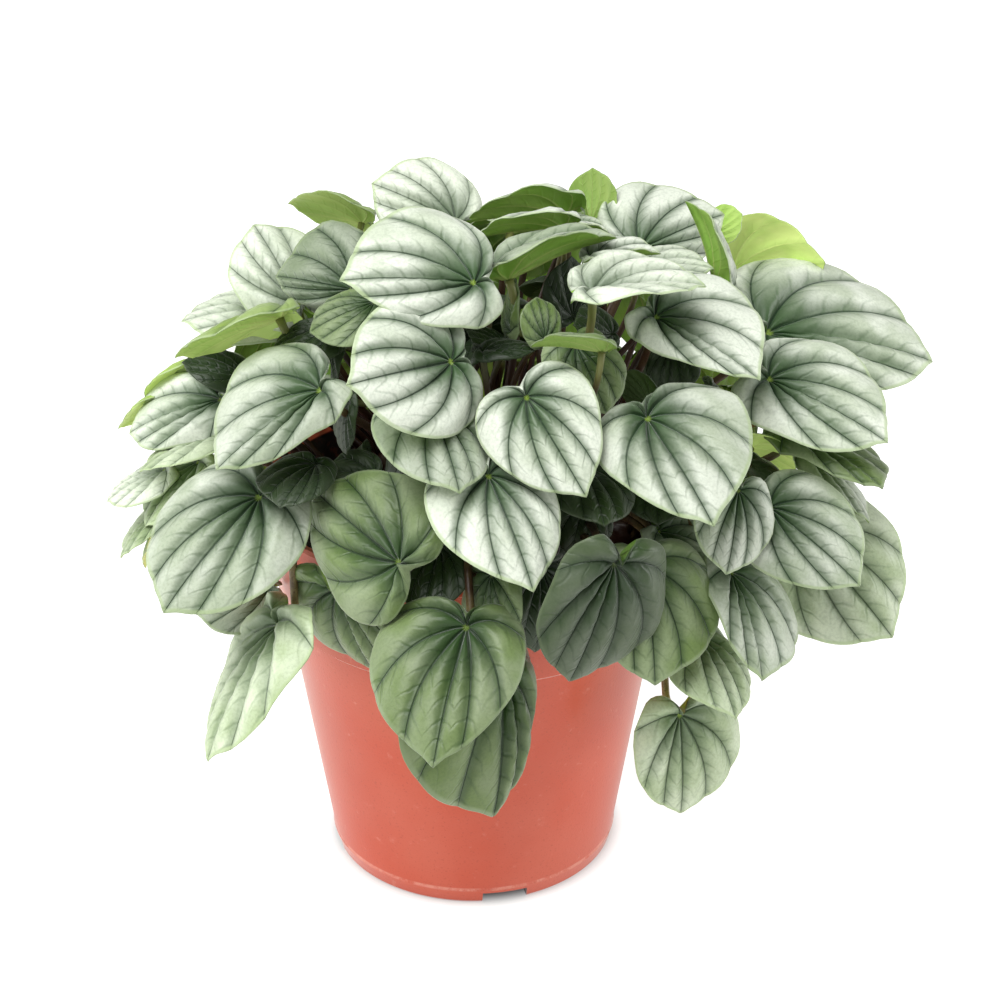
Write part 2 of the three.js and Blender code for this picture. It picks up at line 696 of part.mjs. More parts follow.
// A stalk's route: up out of its own place on the crown and into the blade from behind and
// beneath, over the rim where the leaf hangs low outside the pot
function stalkRoute(leaf, crown, place) {
  const end = stalkEnd(leaf);
  const toward = Math.atan2(end.y - crown[1], end.x - crown[0]) + place.turn;
  const outward = vector(Math.cos(toward), Math.sin(toward), 0);
  const start = vector(crown[0], crown[1], SOIL.top + CROWN.rise * place.height)
    .addScaledVector(outward, (CROWN.radius - CROWN.sunk) * place.out);
  const reach = start.distanceTo(end);
  const arrive = leaf.normal.clone();
  const endRadius = Math.hypot(end.x, end.y);
  if (endRadius > POT.rimRadius && end.z < POT.height + OVER_RIM.below) {
    const radial = vector(end.x / endRadius, end.y / endRadius, 0);
    radial.applyAxisAngle(vector(0, 0, 1), OVER_RIM.aside * (place.layer - 1));
    const over = radial.clone().multiplyScalar(POT.rimRadius - OVER_RIM.inside);
    const out = radial.clone().multiplyScalar(POT.rimRadius + OVER_RIM.outside);
    over.z = POT.height + OVER_RIM.high + OVER_RIM.apart * place.layer;
    out.z = POT.height + OVER_RIM.low + OVER_RIM.apart * place.layer;
    const hang = end.clone().addScaledVector(arrive, -STALK.hang * reach);
    const curve = new THREE.CatmullRomCurve3([start, over, out, hang, end]);
    return { curve, steps: STALK.rimSteps };
  }
  const first = start
    .clone()
    .add(vector(0, 0, STALK.rise * reach))
    .addScaledVector(outward, STALK.spread * reach);
  const last = end.clone().addScaledVector(arrive, -STALK.arrive * reach);
  const curve = new THREE.CubicBezierCurve3(start, first, last, end);
  return { curve, steps: isSmall(leaf) ? STALK.smallSteps : STALK.steps };
}

function stalkGeometry({ curve, steps }, radius) {
  const section = new THREE.Shape();
  for (let i = 0; i < STALK.sides; i++) {
    const angle = (2 * Math.PI * i) / STALK.sides;
    section[i === 0 ? "moveTo" : "lineTo"](radius * Math.cos(angle), radius * Math.sin(angle));
  }
  section.closePath();
  return new THREE.ExtrudeGeometry(section, {
    steps,
    bevelEnabled: false,
    extrudePath: curve,
  });
}

function stalkRadius(leaf) {
  return isSmall(leaf) ? STALK.smallRadius : STALK.radius;
}

// A rounded crown, sunk in its hole in the soil
function crownSolid([x, y]) {
  const top = SOIL.top + CROWN.rise;
  const bottom = SOIL.top - CROWN.depth + CROWN.gap;
  const profile = [
    [0, bottom],
    [CROWN.radius, bottom],
    [CROWN.radius, top - CROWN.waist * CROWN.rise],
    [CROWN.radius * CROWN.topRadius, top - CROWN.shoulder * CROWN.rise],
    [0, top],
  ];
  return solid(turned(profile, CROWN.sides).translate(x, y, 0));
}

// Where each leaf's stalk leaves the crown: the higher the leaf, the nearer the top
function crownPlaces(leaves) {
  const order = [...leaves].sort((one, other) => one.origin.z - other.origin.z);
  return leaves.map((leaf) => {
    const rank = order.indexOf(leaf);
    const height = (rank + 0.5) / leaves.length;
    return {
      height: CROWN.lowest + CROWN.climb * height,
      out: 1 - CROWN.gather * height ** 2,
      turn: CROWN.spread * ((rank % CROWN.layers) - 1),
      layer: rank % CROWN.layers,
    };
  });
}

// The whole plant

function allLeaves() {
  const leaves = Object.fromEntries(
    Object.entries(PLANTLETS).map(([name, plantlet]) => [name, plantlet.leaves.map(placedLeaf)]),
  );
  for (const ring of BACK_RINGS) {
    for (let i = 0; i < ring.count; i++) {
      const azimuth = ring.from + ((ring.to - ring.from) * i) / (ring.count - 1);
      const name =
        azimuth < BACK.split[0] ? "back_right" : azimuth < BACK.split[1] ? "back" : "back_left";
      leaves[name].push(ringLeaf(ring, azimuth));
    }
  }
  return leaves;
}

function stalkSolid(leaf, crown, place) {
  return solid(stalkGeometry(stalkRoute(leaf, crown, place), stalkRadius(leaf)));
}

function plantletSolid(name, leaves) {
  const crown = PLANTLETS[name].crown;
  const places = crownPlaces(leaves);
  const pieces = [crownSolid(crown)];
  leaves.forEach((leaf, i) => {
    pieces.push(stalkSolid(leaf, crown, places[i]));
    pieces.push(solid(bladeGeometry(leaf)));
  });
  return join(pieces);
}

// The plantlet whose crown stands nearest under a point
function nearestPlantlet(point) {
  const gap = ([, { crown }]) => Math.hypot(point.x - crown[0], point.y - crown[1]);
  const entries = Object.entries(PLANTLETS);
  const [name] = entries.reduce((best, entry) => (gap(entry) < gap(best) ? entry : best));
  return name;
}

// Adds the young leaves to the solids of their plantlets
function addYoung(solids) {
  const last = Math.max(...YOUNG.kept);
  for (let i = 0; i <= last; i++) {
    const leaf = youngLeaf();
    if (YOUNG.kept.includes(i)) {
      const name = nearestPlantlet(leaf.origin);
      const stalk = stalkSolid(leaf, PLANTLETS[name].crown, YOUNG.place);
      const whole = "plantlet_" + name;
      solids[whole] = join([solids[whole], stalk, solid(bladeGeometry(leaf))]);
    }
  }
}

const solids = { pot: potSolid(), soil: soilSolid() };
for (const [name, leaves] of Object.entries(allLeaves())) {
  solids["plantlet_" + name] = plantletSolid(name, leaves);
}
addYoung(solids);
const plant = new THREE.Group();
for (const [name, body] of Object.entries(solids)) {
  plant.add(mesh(name, body, COLOURS[name] ?? COLOURS.foliage));
}

const whole = new THREE.Box3().setFromObject(plant);
const middle = whole.getCenter(vector(0, 0, 0));
plant.position.set(-middle.x, -middle.y, 0);

export default plant;
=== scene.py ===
"""Potted peperomia: silvery heart-shaped leaves on thin stalks, in a 12 cm grower's pot.

Sizes inside the script are in millimetres, measured from the pot's axis on the floor, and
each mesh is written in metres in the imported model's frame.
"""
import math

import bpy
import numpy as np
from bpy.props import FloatProperty, FloatVectorProperty, IntProperty, PointerProperty
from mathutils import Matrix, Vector


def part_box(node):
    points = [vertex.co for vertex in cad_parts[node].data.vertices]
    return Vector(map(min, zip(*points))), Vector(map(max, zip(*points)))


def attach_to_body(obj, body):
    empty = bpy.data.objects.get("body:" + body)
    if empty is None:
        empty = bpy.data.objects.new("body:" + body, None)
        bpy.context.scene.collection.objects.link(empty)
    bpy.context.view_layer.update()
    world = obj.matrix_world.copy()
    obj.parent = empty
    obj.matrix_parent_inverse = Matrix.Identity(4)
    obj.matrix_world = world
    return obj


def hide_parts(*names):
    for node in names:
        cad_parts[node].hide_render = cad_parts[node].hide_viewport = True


bl_info = {
    "name": "Potted peperomia",
    "version": (1, 0, 0),
    "blender": (4, 5, 0),
    "location": "3D View > Sidebar > Peperomia",
    "description": "Builds a silver-leaved peperomia in its plastic pot",
    "category": "Add Mesh",
}

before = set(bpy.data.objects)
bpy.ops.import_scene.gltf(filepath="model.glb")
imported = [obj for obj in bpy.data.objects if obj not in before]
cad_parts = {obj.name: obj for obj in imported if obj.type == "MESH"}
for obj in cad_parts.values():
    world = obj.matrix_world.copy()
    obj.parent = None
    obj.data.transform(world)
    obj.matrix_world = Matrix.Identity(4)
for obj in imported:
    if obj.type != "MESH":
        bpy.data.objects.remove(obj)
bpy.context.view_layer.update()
MM = 0.001
POT_LOW, POT_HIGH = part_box("pot")
AXIS = np.array([(POT_LOW.x + POT_HIGH.x) / 2, (POT_LOW.y + POT_HIGH.y) / 2, 0.0]) / MM

# The eye's place in the pot's frame: its distance to the point that it aims at, the lens in
# pixels of a frame 1000 wide, and the downward tilt
VIEW = {"distance": 600, "lens": 2134, "tilt": 25.8, "aim": (7.85, 0, 107.85), "middle": 500}
SENSOR = 36

# The plant's dome, which the leaves' attachment points lie near
DOME_CENTRE = np.array([11.0, 4.0, 108.0])
DOME_RADIUS = np.array([86.0, 78.0, 82.0])

# Half of a leaf's outline from tip to sinus: share of the half width, share of the length.
# Its widest place and the ends of its lobes are given by their share of the length.
HALF_OUTLINE = np.array(
    [[0, 1], [0.4, 0.885], [0.79, 0.65], [1, 0.35], [0.97, 0.06], [0.69, -0.16], [0.28, -0.2], [0, -0.09]]
)
WIDEST = 0.28
LOBE = -0.2
WIDTH_TO_LENGTH = 1.1

# A leaf is small below the first of these lengths and large above the second
SMALL_LEAF = 24
LARGE_LEAF = 30

# How a leaf looks: how silvery, how fresh a green, how much painted shade darkens it, and how
# faint its veins are, each from 0 to 1. The painted shade stands for the shade that falls on
# leaves inside and low on the plant, and the freshness also sets the painted glow of the back
LOOKS = {
    "silver": (0.9, 0.0, 0.05, 0.0),
    "pale": (1.0, 0.05, 0.0, 0.45),
    "soft": (0.76, 0.0, 0.23, 0.0),
    "grey": (0.7, 0.0, 0.26, 0.0),
    "dusk": (0.55, 0.0, 0.5, 0.0),
    "moss": (0.32, 0.32, 0.54, 0.0),
    "green": (0.25, 0.3, 0.48, 0.1),
    "fresh": (0.15, 0.55, 0.15, 0.2),
    "light": (0.6, 0.18, 0.05, 0.4),
    "slate": (0.3, 0.08, 0.88, 0.0),
    "dark": (0.2, 0.06, 1.0, 0.2),
    "lime": (0.3, 0.8, 0.0, 0.3),
}

# Where each plantlet's crown stands in the soil, in millimetres
CROWNS = {
    "upper_left": (-14, 8),
    "top": (12, -6),
    "upper_right": (32, 8),
    "right": (42, -14),
    "front_right": (25, -30),
    "front": (2, -37),
    "front_left": (-24, -27),
    "left": (-38, 2),
    "back_left": (-24, 30),
    "back": (6, 38),
    "back_right": (34, 30),
}

# Each leaf that the front view shows: its look, how far in millimetres it stands in front of
# the dome, and in pixels where the stalk meets the blade, the tip, and a point on each side
# at the widest place. One marked under shows its underside. Where a pair of angles stands
# for the sides, the leaf is seen edge-on: its face leans towards the eye by the first, and
# its halves are folded up along the midrib by the second.
LEAVES = {
    "upper_left": [
        ("pale", -18, (455, 222), (374, 184), (438, 161, 398, 240)),
        ("fresh", 0, (362, 222), (291, 203), (330, 192, 335, 228), "under"),
        ("pale", -6, (300, 305), (255, 226), (231, 276, 325, 235)),
        ("pale", -12, (285, 312), (184, 320), (215, 293, 240, 345)),
        ("fresh", 14, (279, 317), (178, 355), (238, 320, 246, 341), "under"),
        ("dusk", 0, (352, 290), (277, 276), (325, 221, 300, 306)),
        ("green", 2, (375, 303), (311, 331), (335, 296, 352, 346)),
        ("dark", -8, (330, 325), (274, 347), (295, 325, 318, 364)),
        ("dark", -13, (335, 345), (327, 394), (320, 366, 339, 370)),
        ("grey", 7.5, (321, 391), (219, 467), (245, 361, 303, 441)),
        ("dark", -12, (350, 402), (346, 453), (333, 428, 354, 428)),
    ],
    "top": [
        ("silver", -12, (566, 214), (468, 223), (-5, 25)),
        ("silver", -2, (563, 227), (477, 236), (6, 25)),
        ("silver", -14, (566, 226), (607, 231), (20, 30)),
        ("grey", -4, (508, 278), (612, 237), (14, 32)),
        ("green", -20, (592, 222), (593, 169), (568, 192, 617, 192), "under"),
        ("silver", -17, (640, 250), (722, 215), (628, 184, 690, 266)),
        ("silver", 2, (594, 262), (658, 252), (22, 30)),
        ("pale", 13, (592, 296), (702, 287), (30, 25)),
        ("pale", -10, (640, 268), (712, 268), (672, 246, 676, 284)),
        ("grey", 5, (716, 284), (689, 203), (10, 32)),
        ("green", -6, (575, 345), (606, 412), (550, 388, 624, 362)),
        ("dark", -14, (612, 335), (575, 325), (590, 304, 597, 345)),
        ("green", -8, (545, 340), (537, 298), (520, 318, 560, 316)),
        ("green", 12, (602, 350), (533, 344), (5, 25)),
        ("dark", -10, (483, 352), (538, 347), (505, 339, 508, 359)),
        ("green", -18, (512, 332), (514, 276), (504, 305, 519, 300)),
        ("dark", -20, (506, 347), (467, 329), (485, 327, 480, 350)),
        ("dark", -26, (572, 316), (572, 258), (543, 292, 593, 290)),
    ],
    "upper_right": [
        ("lime", -31, (733, 270), (823, 262), (754, 214, 786, 312), "under"),
        ("light", -22, (712, 235), (742, 215), (722, 204, 735, 240), "under"),
        ("silver", 4, (655, 318), (756, 377), (728, 283, 655, 353)),
        ("silver", 0, (766, 334), (929, 360), (825, 259, 850, 390)),
        ("dark", -16, (650, 402), (620, 372), (650, 378, 624, 398), "under"),
        ("dark", -16, (672, 348), (668, 396), (646, 370, 700, 372)),
    ],
    "right": [
        ("silver", 6, (768, 380), (884, 440), (848, 351, 787, 438)),
        ("green", 0, (790, 437), (880, 486), (866, 445, 810, 462)),
        ("grey", -6, (800, 455), (868, 520), (872, 476, 828, 484)),
        ("lime", -20, (752, 447), (795, 468), (778, 440, 770, 470), "under"),
        ("dark", -16, (750, 463), (786, 500), (780, 472, 748, 488), "under"),
        ("grey", 4, (769, 508), (857, 583), (836, 490, 760, 570)),
        ("light", -6, (800, 530), (890, 634), (886, 520, 780, 620)),
        ("grey", 8, (738, 490), (727, 572), (694, 515, 773, 530)),
    ],
    "front_right": [
        ("soft", 4, (647, 419), (711, 521), (599, 462, 742, 404)),
        ("dark", -16, (585, 468), (604, 524), (550, 494, 634, 494)),
        ("dark", -16, (655, 470), (658, 523), (622, 500, 695, 500)),
        ("grey", -20, (658, 532), (720, 574), (706, 522, 676, 566)),
        ("dark", -24, (588, 497), (584, 560), (549, 535, 613, 528)),
        ("grey", -4, (730, 572), (762, 677), (720, 618, 796, 622)),
        ("green", -8, (643, 565), (655, 682), (598, 625, 718, 612)),
        ("slate", 11, (614, 563), (571, 679), (539, 614, 657, 625)),
        ("light", -14, (697, 635), (735, 716), (669, 676, 746, 668)),
        ("light", -6, (679, 714), (681, 811), (636, 768, 739, 742)),
    ],
    "front": [
        ("silver", 12, (474, 284), (345, 280), (422, 208, 450, 327)),
        ("silver", 6, (451, 362), (351, 384), (395, 300, 445, 437)),
        ("grey", -1.5, (432, 410), (459, 490), (376, 441, 489, 440)),
        ("silver", 6, (526, 397), (584, 493), (484, 448, 590, 385)),
        ("silver", 0, (488, 476), (532, 587), (430, 520, 553, 490)),
        ("green", -5, (492, 575), (498, 656), (462, 612, 522, 600)),
        ("dark", -11, (540, 568), (536, 650), (504, 608, 574, 594)),
        ("moss", 7, (467, 627), (434, 762), (373, 652, 522, 672)),
        ("moss", -4, (500, 665), (496, 826), (420, 728, 543, 712)),
        ("dark", -14, (440, 546), (424, 612), (394, 583, 468, 588)),
    ],
    "front_left": [
        ("green", 2, (400, 563), (316, 491), (347, 613, 430, 488)),
        ("dark", -6, (315, 465), (281, 506), (257, 478, 322, 494)),
        ("dark", -21, (374, 478), (322, 487), (350, 450, 360, 502)),
        ("grey", 4, (260, 497), (166, 609), (166, 505, 275, 583)),
        ("grey", -24, (268, 590), (198, 613), (235, 598, 246, 636)),
        ("light", 4, (279, 625), (209, 756), (235, 645, 291, 680)),
        ("green", -8, (338, 588), (372, 668), (296, 610, 394, 624)),
    ],
    "left": [
        ("silver", 5, (222, 400), (131, 432), (190, 360, 170, 448)),
        ("dark", -8, (245, 378), (183, 362), (215, 349, 206, 386)),
        ("lime", -13, (198, 366), (144, 402), (158, 376, 170, 392), "under"),
        ("lime", -16, (160, 402), (119, 427), (138, 403, 142, 420), "under"),
        ("light", -5, (218, 436), (141, 470), (178, 442, 190, 462)),
        ("pale", -12, (165, 470), (108, 500), (125, 473, 138, 505)),
        ("light", -7.5, (199, 462), (146, 524), (155, 478, 192, 512)),
        ("light", -15, (175, 500), (121, 556), (133, 524, 154, 534)),
        ("lime", -23, (168, 515), (145, 566), (149, 546, 160, 550), "under"),
    ],
    "back_left": [],
    "back": [],
    "back_right": [],
}


# Leaves that the front view hides stand in rings round the back of the dome: how high on the
# dome and the first and last azimuth in degrees, and each leaf's length and its distance in
# front of the dome in millimetres. They are silver high on the plant, and green and darkened
# with painted shade low on it.
BACK_RINGS = [
    {"rise": -14, "from": 30, "to": 150, "count": 4, "length": 34, "lift": -7, "look": "moss"},
    {"rise": 8, "from": 16, "to": 156, "count": 7, "length": 34, "lift": -3, "look": "grey"},
    {"rise": 30, "from": 36, "to": 150, "count": 6, "length": 32, "lift": 2, "look": "silver"},
    {"rise": 47, "from": 58, "to": 138, "count": 4, "length": 30, "lift": 2, "look": "silver"},
    {"rise": 60, "from": 92, "to": 122, "count": 2, "length": 25, "lift": -6, "look": "silver"},
]

# How those leaves lie and differ, in degrees and shares, with the azimuths that split them
# between the three plantlets at the back
BACK = {
    "split": (70, 115),
    "pitch": 16,
    "shingle": 13,
    "turn": 16,
    "spread": 2.5,
    "size_spread": 0.08,
    "share_spread": 0.05,
    "seed": 4711,
}

# Young leaves stand inside the dome at drawn places, in millimetres inward from the dome and
# degrees round and above its middle. Only the draws listed as kept are used: those whose
# place has room.
YOUNG = {
    "inward": 28,
    "inward_spread": 13,
    "rise": 40,
    "rise_spread": 36,
    "length": 21,
    "length_spread": 3,
    "pitch": 12,
    "place": {"height": 0.95, "out": 0.15, "turn": 0, "layer": 1},
    "kept": (0, 9, 15, 52, 202, 226, 308, 310, 315, 321),
}

# How far a leaf's points may be moved, in pixels, so that it shows where the view has it
FIT = {"rounds": 4, "most": 14}

# How much facing upwards counts beside facing outwards, where a leaf could be turned two ways
UPWARD_WEIGHT = 0.5

# The least and the most that a leaf's widest place and its left half's share can be
BELLY_RANGE = (0.05, 0.5)
SHARE_RANGE = (0.25, 0.75)

# The multiplier and the prime of the seeded draws
DRAW_STEP = 16807
DRAW_RANGE = 2147483647

# A crown in millimetres, and how its stalks are shared out over it. Its profile is in shares
# of its radius and of its rise, or in millimetres above its foot.
SOIL_TOP = 102
CROWN = {
    "radius": 5,
    "depth": 13,
    "rise": 8,
    "gap": 0.35,
    "sunk": 1.2,
    "spread": 0.8,
    "lowest": 0.25,
    "climb": 0.65,
    "gather": 0.7,
    "layers": 3,
    "foot_profile": ((0.9, 0), (1, 2)),
    "top_profile": ((1, 0.55), (0.72, 0.15), (0.12, 0)),
    "knob": 0.07,
    "knobs": 5,
    "knob_twist": 1.7,
    "sides": 24,
    "steps": 6,
    "reach": 0.15,
    "shade": 0.4,
}

# How pale a stalk turns towards its blade, outside the pot and inside the plant. Inside, the
# pale colour is mostly held back as painted shade, for the shade among the leaves.
STALK_PALE = {"outside": 1.0, "inside": 0.15}

# A stalk's route: its handles in shares of its reach, and how far it goes into the blade in
# shares of the thickness. A stalk over the rim has its steps in each span.
STALK_ROUTE = {"rise": 0.38, "spread": 0.12, "arrive": 0.25, "hang": 0.12, "into": 0.6}
STALK_STEPS = {"free": 22, "over_rim": 8}

# Where a stalk ends under its blade: towards a place on the midrib and one on the flank
STALK_END = {
    "rib": (0, 0.45, 0.45),
    "flank": (0.66, 0.1, 0.5),
    "weights": (0.55, 0.25, 0.2),
}

# A stalk is thicker at its foot and at its neck, by shares that fade along it
STALK_FORM = {
    "sides": 10,
    "foot": 0.3,
    "foot_fade": 14,
    "taper": 0.12,
    "neck": 0.22,
    "neck_fade": 22,
}

# Where a stalk passes over the rim: millimetres from the rim's edge and its top, and between
# stalks, with their step to the side in radians
OVER_RIM = {
    "radius": 60,
    "top": 113,
    "below": 12,
    "inside": 11,
    "outside": 5,
    "high": 7,
    "low": 5,
    "apart": 2.6,
    "aside": 0.07,
}

# How the veins lie: a main vein at each whole number from the midrib (0) round to the lobes,
# and the notch half a step past the last one. The last vein is the faintest.
LAST_VEIN = 4
NOTCH_PLACE = 4.5

# A vein leaves the stalk turned back from its end at the edge by up to the sweep, in degrees
VEIN_SWEEP = 36
VEIN_SWEEP_POWER = 0.6
VEIN_HANDLE = 0.55
VEIN_CROWDING = 1.25

# Side veins leave a main vein at this distance from each other on a leaf of the full length
SIDE_VEIN_STEP = 7
FULL_LENGTH = 45

# The slow waves along each half of the edge, and the drawn-out tip in shares of the length
EDGE_WAVES = 3
DRIP_TIP = {"length": 0.035, "width": 0.12}

# A plantlet's materials by number: the leaves' tops and backs, then the stalks and the crown
TOP_MATERIAL = 0
BACK_MATERIAL = 1
STALK_MATERIAL = 2

# A blade's columns for each vein and its rings from the stalk to the edge
BLADE_GRID = {"large": (8, 28), "middle": (6, 20), "small": (4, 14)}

# A blade's lesser forms, in shares and powers, with its edge's rounding in millimetres
BLADE = {
    "outline_steps": 24,
    "first_ring": 0.02,
    "last_ring": 0.97,
    "swell_power": 2.2,
    "scallop": 0.014,
    "side_vein_slope": 0.8,
    "side_vein_bend": 0.1,
    "side_quilt": 0.25,
    "quilt_from": 0.22,
    "quilt_loss": 0.7,
    "faint_last": 0.35,
    "edge_loss": 0.55,
    "edge_loss_power": 6,
    "edge_round": 0.18,
}

# How much a leaf's silver and painted shade differ from those of its look
LOOK_SPREAD = {"silver": 0.1, "shade": 0.08, "seed": 90210}

# The pot's lesser forms: millimetres, and the first notch's place in degrees
POT_FORM = {
    "centre": 0.5,
    "edge": 0.8,
    "foot_width": 4.6,
    "foot_height": 5,
    "bead": 0.2,
    "ledge": 0.4,
    "step": 1,
    "proud": 1,
    "floor_under": 3,
    "floor_top": 6,
    "hole_ring": 25,
    "notch_turn": -77,
    "notch_depth": 5.6,
    "sides": 160,
    "hole_sides": 40,
    "cut_from": -6,
    "cut_to": 12,
    "rounding": 0.35,
    "rounding_steps": 3,
    "sharp": 28,
}

# A pot with fewer faces than this has lost its wall in the boolean that cuts its holes
LEAST_POT_FACES = 1000

# How much of the plastic's colour its dark flecks keep
FLECK_SHARE = 0.62

# The peat's lesser forms: millimetres, with its rings and their sides
SOIL_FORM = {
    "middle": 0.6,
    "gap": 0.3,
    "heap": 2.5,
    "shoulder": 1.5,
    "bottom": 6.3,
    "lump_level": 0.8,
    "lump_fade": 3,
    "rings": 44,
    "sides": 150,
}
LUMPS = {"seed": 12, "octaves": 4, "waves": 5, "finer": 1.9, "weaker": 0.62, "evening": 0.75}

# The stage in metres: each light's place from the plant's middle, its size and its power
FLOOR_HALF = 30.0
FAR_CLIP = 50
PLANT_MIDDLE = 0.11
LIGHTS = (
    ("key_softbox", (-0.35, -0.45, 1.1), 1.0, "key_power"),
    ("fill_softbox", (0.5, -1.4, 0.6), 1.2, "fill_power"),
    ("left_softbox", (-1.2, 0.15, 0.25), 0.8, "side_power"),
    ("right_softbox", (1.2, 0.15, 0.25), 0.8, "side_power"),
)

# The room and the floor shine white. The floor is unlit nearer to the pot's axis than the
# first of these distances in millimetres, and fully lit from the second one on: a painted
# contact shadow round the pot's foot.
WHITE = (1.0, 1.0, 1.0, 1.0)
FLOOR_SHADOW = (35.5, 47)


def linear(colour):
    """An sRGB hex colour as linear red, green and blue."""
    shares = [int(colour[i : i + 2], 16) / 255 for i in (1, 3, 5)]
    return tuple(c / 12.92 if c <= 0.04045 else ((c + 0.055) / 1.055) ** 2.4 for c in shares)


# Settings that a user would change


def length(name, description, default):
    """A size in metres from its default in millimetres."""
    return FloatProperty(
        name=name, description=description, default=default * MM, subtype="DISTANCE", unit="LENGTH"
    )


def share(name, description, default):
    """A plain number between 0 and 1."""
    return FloatProperty(
        name=name, description=description, default=default, min=0, max=1, subtype="FACTOR"
    )


def strength(name, description, default):
    """How strongly a surface or the room shines."""
    return FloatProperty(name=name, description=description, default=default, min=0)


def power(name, description, default):
    """A light's power in watts."""
    return FloatProperty(name=name, description=description, default=default, min=0, unit="POWER")


def colour(name, description, default):
    """A colour from its sRGB hex default."""
    return FloatVectorProperty(
        name=name,
        description=description,
        default=linear(default),
        size=3,
        min=0,
        max=1,
        subtype="COLOR",
    )


class PeperomiaPotSettings(bpy.types.PropertyGroup):
    """Sizes and colours of the moulded pot"""

    height: length("Height", "From the floor to the top of the rim", 113)
    rim_radius: length("Rim radius", "Outer radius of the rim band", 60)
    rim_height: length("Rim height", "Height of the rim band", 4.5)
    base_radius: length("Base radius", "Outer radius at the foot ring", 41.3)
    mouth_radius: length("Mouth radius", "Outer radius of the wall at the mouth", 58.5)
    wall: length("Wall", "Thickness of the moulded wall", 1.5)
    collar_bottom: length("Collar height", "Height of the step where the stacking collar starts", 79)
    notch_width: length("Notch width", "Width of each drain notch in the foot ring", 13)
    notch_height: length("Notch height", "Height of each drain notch", 3.6)
    notches: IntProperty(name="Notches", description="Drain notches round the foot", default=4, min=1)
    holes: IntProperty(name="Drain holes", description="Round holes in the floor", default=5, min=1)
    hole_radius: length("Hole radius", "Radius of each drain hole", 4.5)
    plastic: colour("Plastic", "Colour of the moulded plastic", "#BD4524")
    scuff: colour("Scuffs", "Colour of the rubbed, paler places", "#E3AC9A")
    # Painted shade on the pot's inner face, darkened where the foliage shades it
    inner_shade: colour("Peat stain", "Colour of the inner face where peat has lain on it", "#1E120C")


class PeperomiaSoilSettings(bpy.types.PropertyGroup):
    """Sizes and colours of the potting peat"""

    lumps: length("Lumps", "Height of the lumps on the soil's surface", 1.4)
    lump_size: length("Lump size", "Distance between the lumps", 7)
    peat: colour("Peat", "Colour of the damp peat", "#221812")
    fibre: colour("Fibres", "Colour of the dry fibres in it", "#54402E")


class PeperomiaLeafSettings(bpy.types.PropertyGroup):
    """Sizes and colours of the leaves"""

    thickness: length("Thickness", "Thickness of a blade at its middle", 0.7)
    bulge: share("Bulge", "Rise of the blade between stalk and edge, over its length", 0.07)
    side_droop: share("Side droop", "Fall of the sides, over the blade's length", 0.06)
    wave: share("Wave", "Height of the slow waves of the edge, over the length", 0.018)
    quilting: length("Quilting", "Rise of the blade between its sunken veins", 2.8)
    silver: colour("Silver", "The pale pearly skin between the veins", "#DCE2D3")
    green: colour("Green", "The skin of the greener, shaded leaves", "#6C874A")
    lime: colour("Lime", "The skin of the youngest leaves", "#9DBB45")
    band: colour("Vein band", "The dark band on both sides of a vein", "#2A4C1E")
    vein: colour("Vein", "The bottom of a sunken vein", "#16301A")
    edge: colour("Edge", "The thin green margin", "#A9BC8C")
    # Painted shade: leaves inside and low on the plant are mixed towards the deep colour
    deep: colour("Deep shade", "The skin of leaves that grew in the shade", "#13260A")
    underside: colour("Underside", "The back of a leaf", "#7AAC38")
    # Painted light: the backs are mixed towards this colour and glow with it where light would come through
    glow: colour("Lit underside", "The back of a leaf with light through it", "#CBDD86")
    rib: colour("Ribs", "The veins that stand out on the back of a leaf", "#C2D07C")


class PeperomiaStalkSettings(bpy.types.PropertyGroup):
    """Sizes and colours of the leaf stalks"""

    radius: length("Radius", "Radius of a large leaf's stalk", 1.15)
    small_radius: length("Small radius", "Radius of a small leaf's stalk", 0.9)
    foot: colour("Foot", "Reddish skin near the crown", "#3B2017")
    neck: colour("Neck", "Pale skin on the upper part", "#A0905C")
    tip: colour("Tip", "Olive skin right under the blade", "#7C8346")
    # Painted shade: stalks of shaded leaves and the crown are mixed towards this
    shaded: colour("Shade", "Skin of a stalk whose leaf grew in the shade", "#1C120D")


class PeperomiaStageSettings(bpy.types.PropertyGroup):
    """The plain studio that the plant stands in"""

    floor: colour("Floor", "Colour of the plain floor", "#A8A8A6")
    grain: colour("Grain", "Colour of the faint grain in it", "#9E9E9C")
    floor_glow: strength("Floor glow", "Light that the floor gives off", 0.95)
    key_power: power("Key light", "Power of the soft light above", 23.5)
    fill_power: power("Fill light", "Power of the soft light in front", 4)
    side_power: power("Side lights", "Power of each of the soft lights at the sides", 8.5)
    room: strength("Room light", "Strength of the even light all round", 0.11)
    lens: FloatProperty(
        name="Lens",
        description="Focal length",
        default=VIEW["lens"] * SENSOR / (2 * VIEW["middle"]),
        subtype="DISTANCE_CAMERA",
    )


# Meshes from arrays


def grid_faces(rows, columns):
    """Quads between neighbouring rows of a grid whose columns run all the way round."""
    first = np.arange(rows - 1)[:, None] * columns
    here = np.arange(columns)[None, :]
    there = (here + 1) % columns
    quads = np.stack([first + here, first + there, first + columns + there, first + columns + here], -1)
    return quads.reshape(-1, 4)


def closed_tube(rings):
    """A grid of rings as a closed surface: quads between the rings and a fan of triangles to
    the middle of the first ring and of the last. Rings turn clockwise seen from outside the
    first one. Returns the points, the quads and the triangles."""
    rows, columns, _ = rings.shape
    points = np.vstack([rings.reshape(-1, 3), rings[0].mean(0), rings[-1].mean(0)])
    here = np.arange(columns)
    there = (here + 1) % columns
    last = (rows - 1) * columns
    start = np.stack([np.full(columns, rows * columns), there, here], -1)
    end = np.stack([np.full(columns, rows * columns + 1), last + here, last + there], -1)
    return points, grid_faces(rows, columns), np.vstack([start, end])


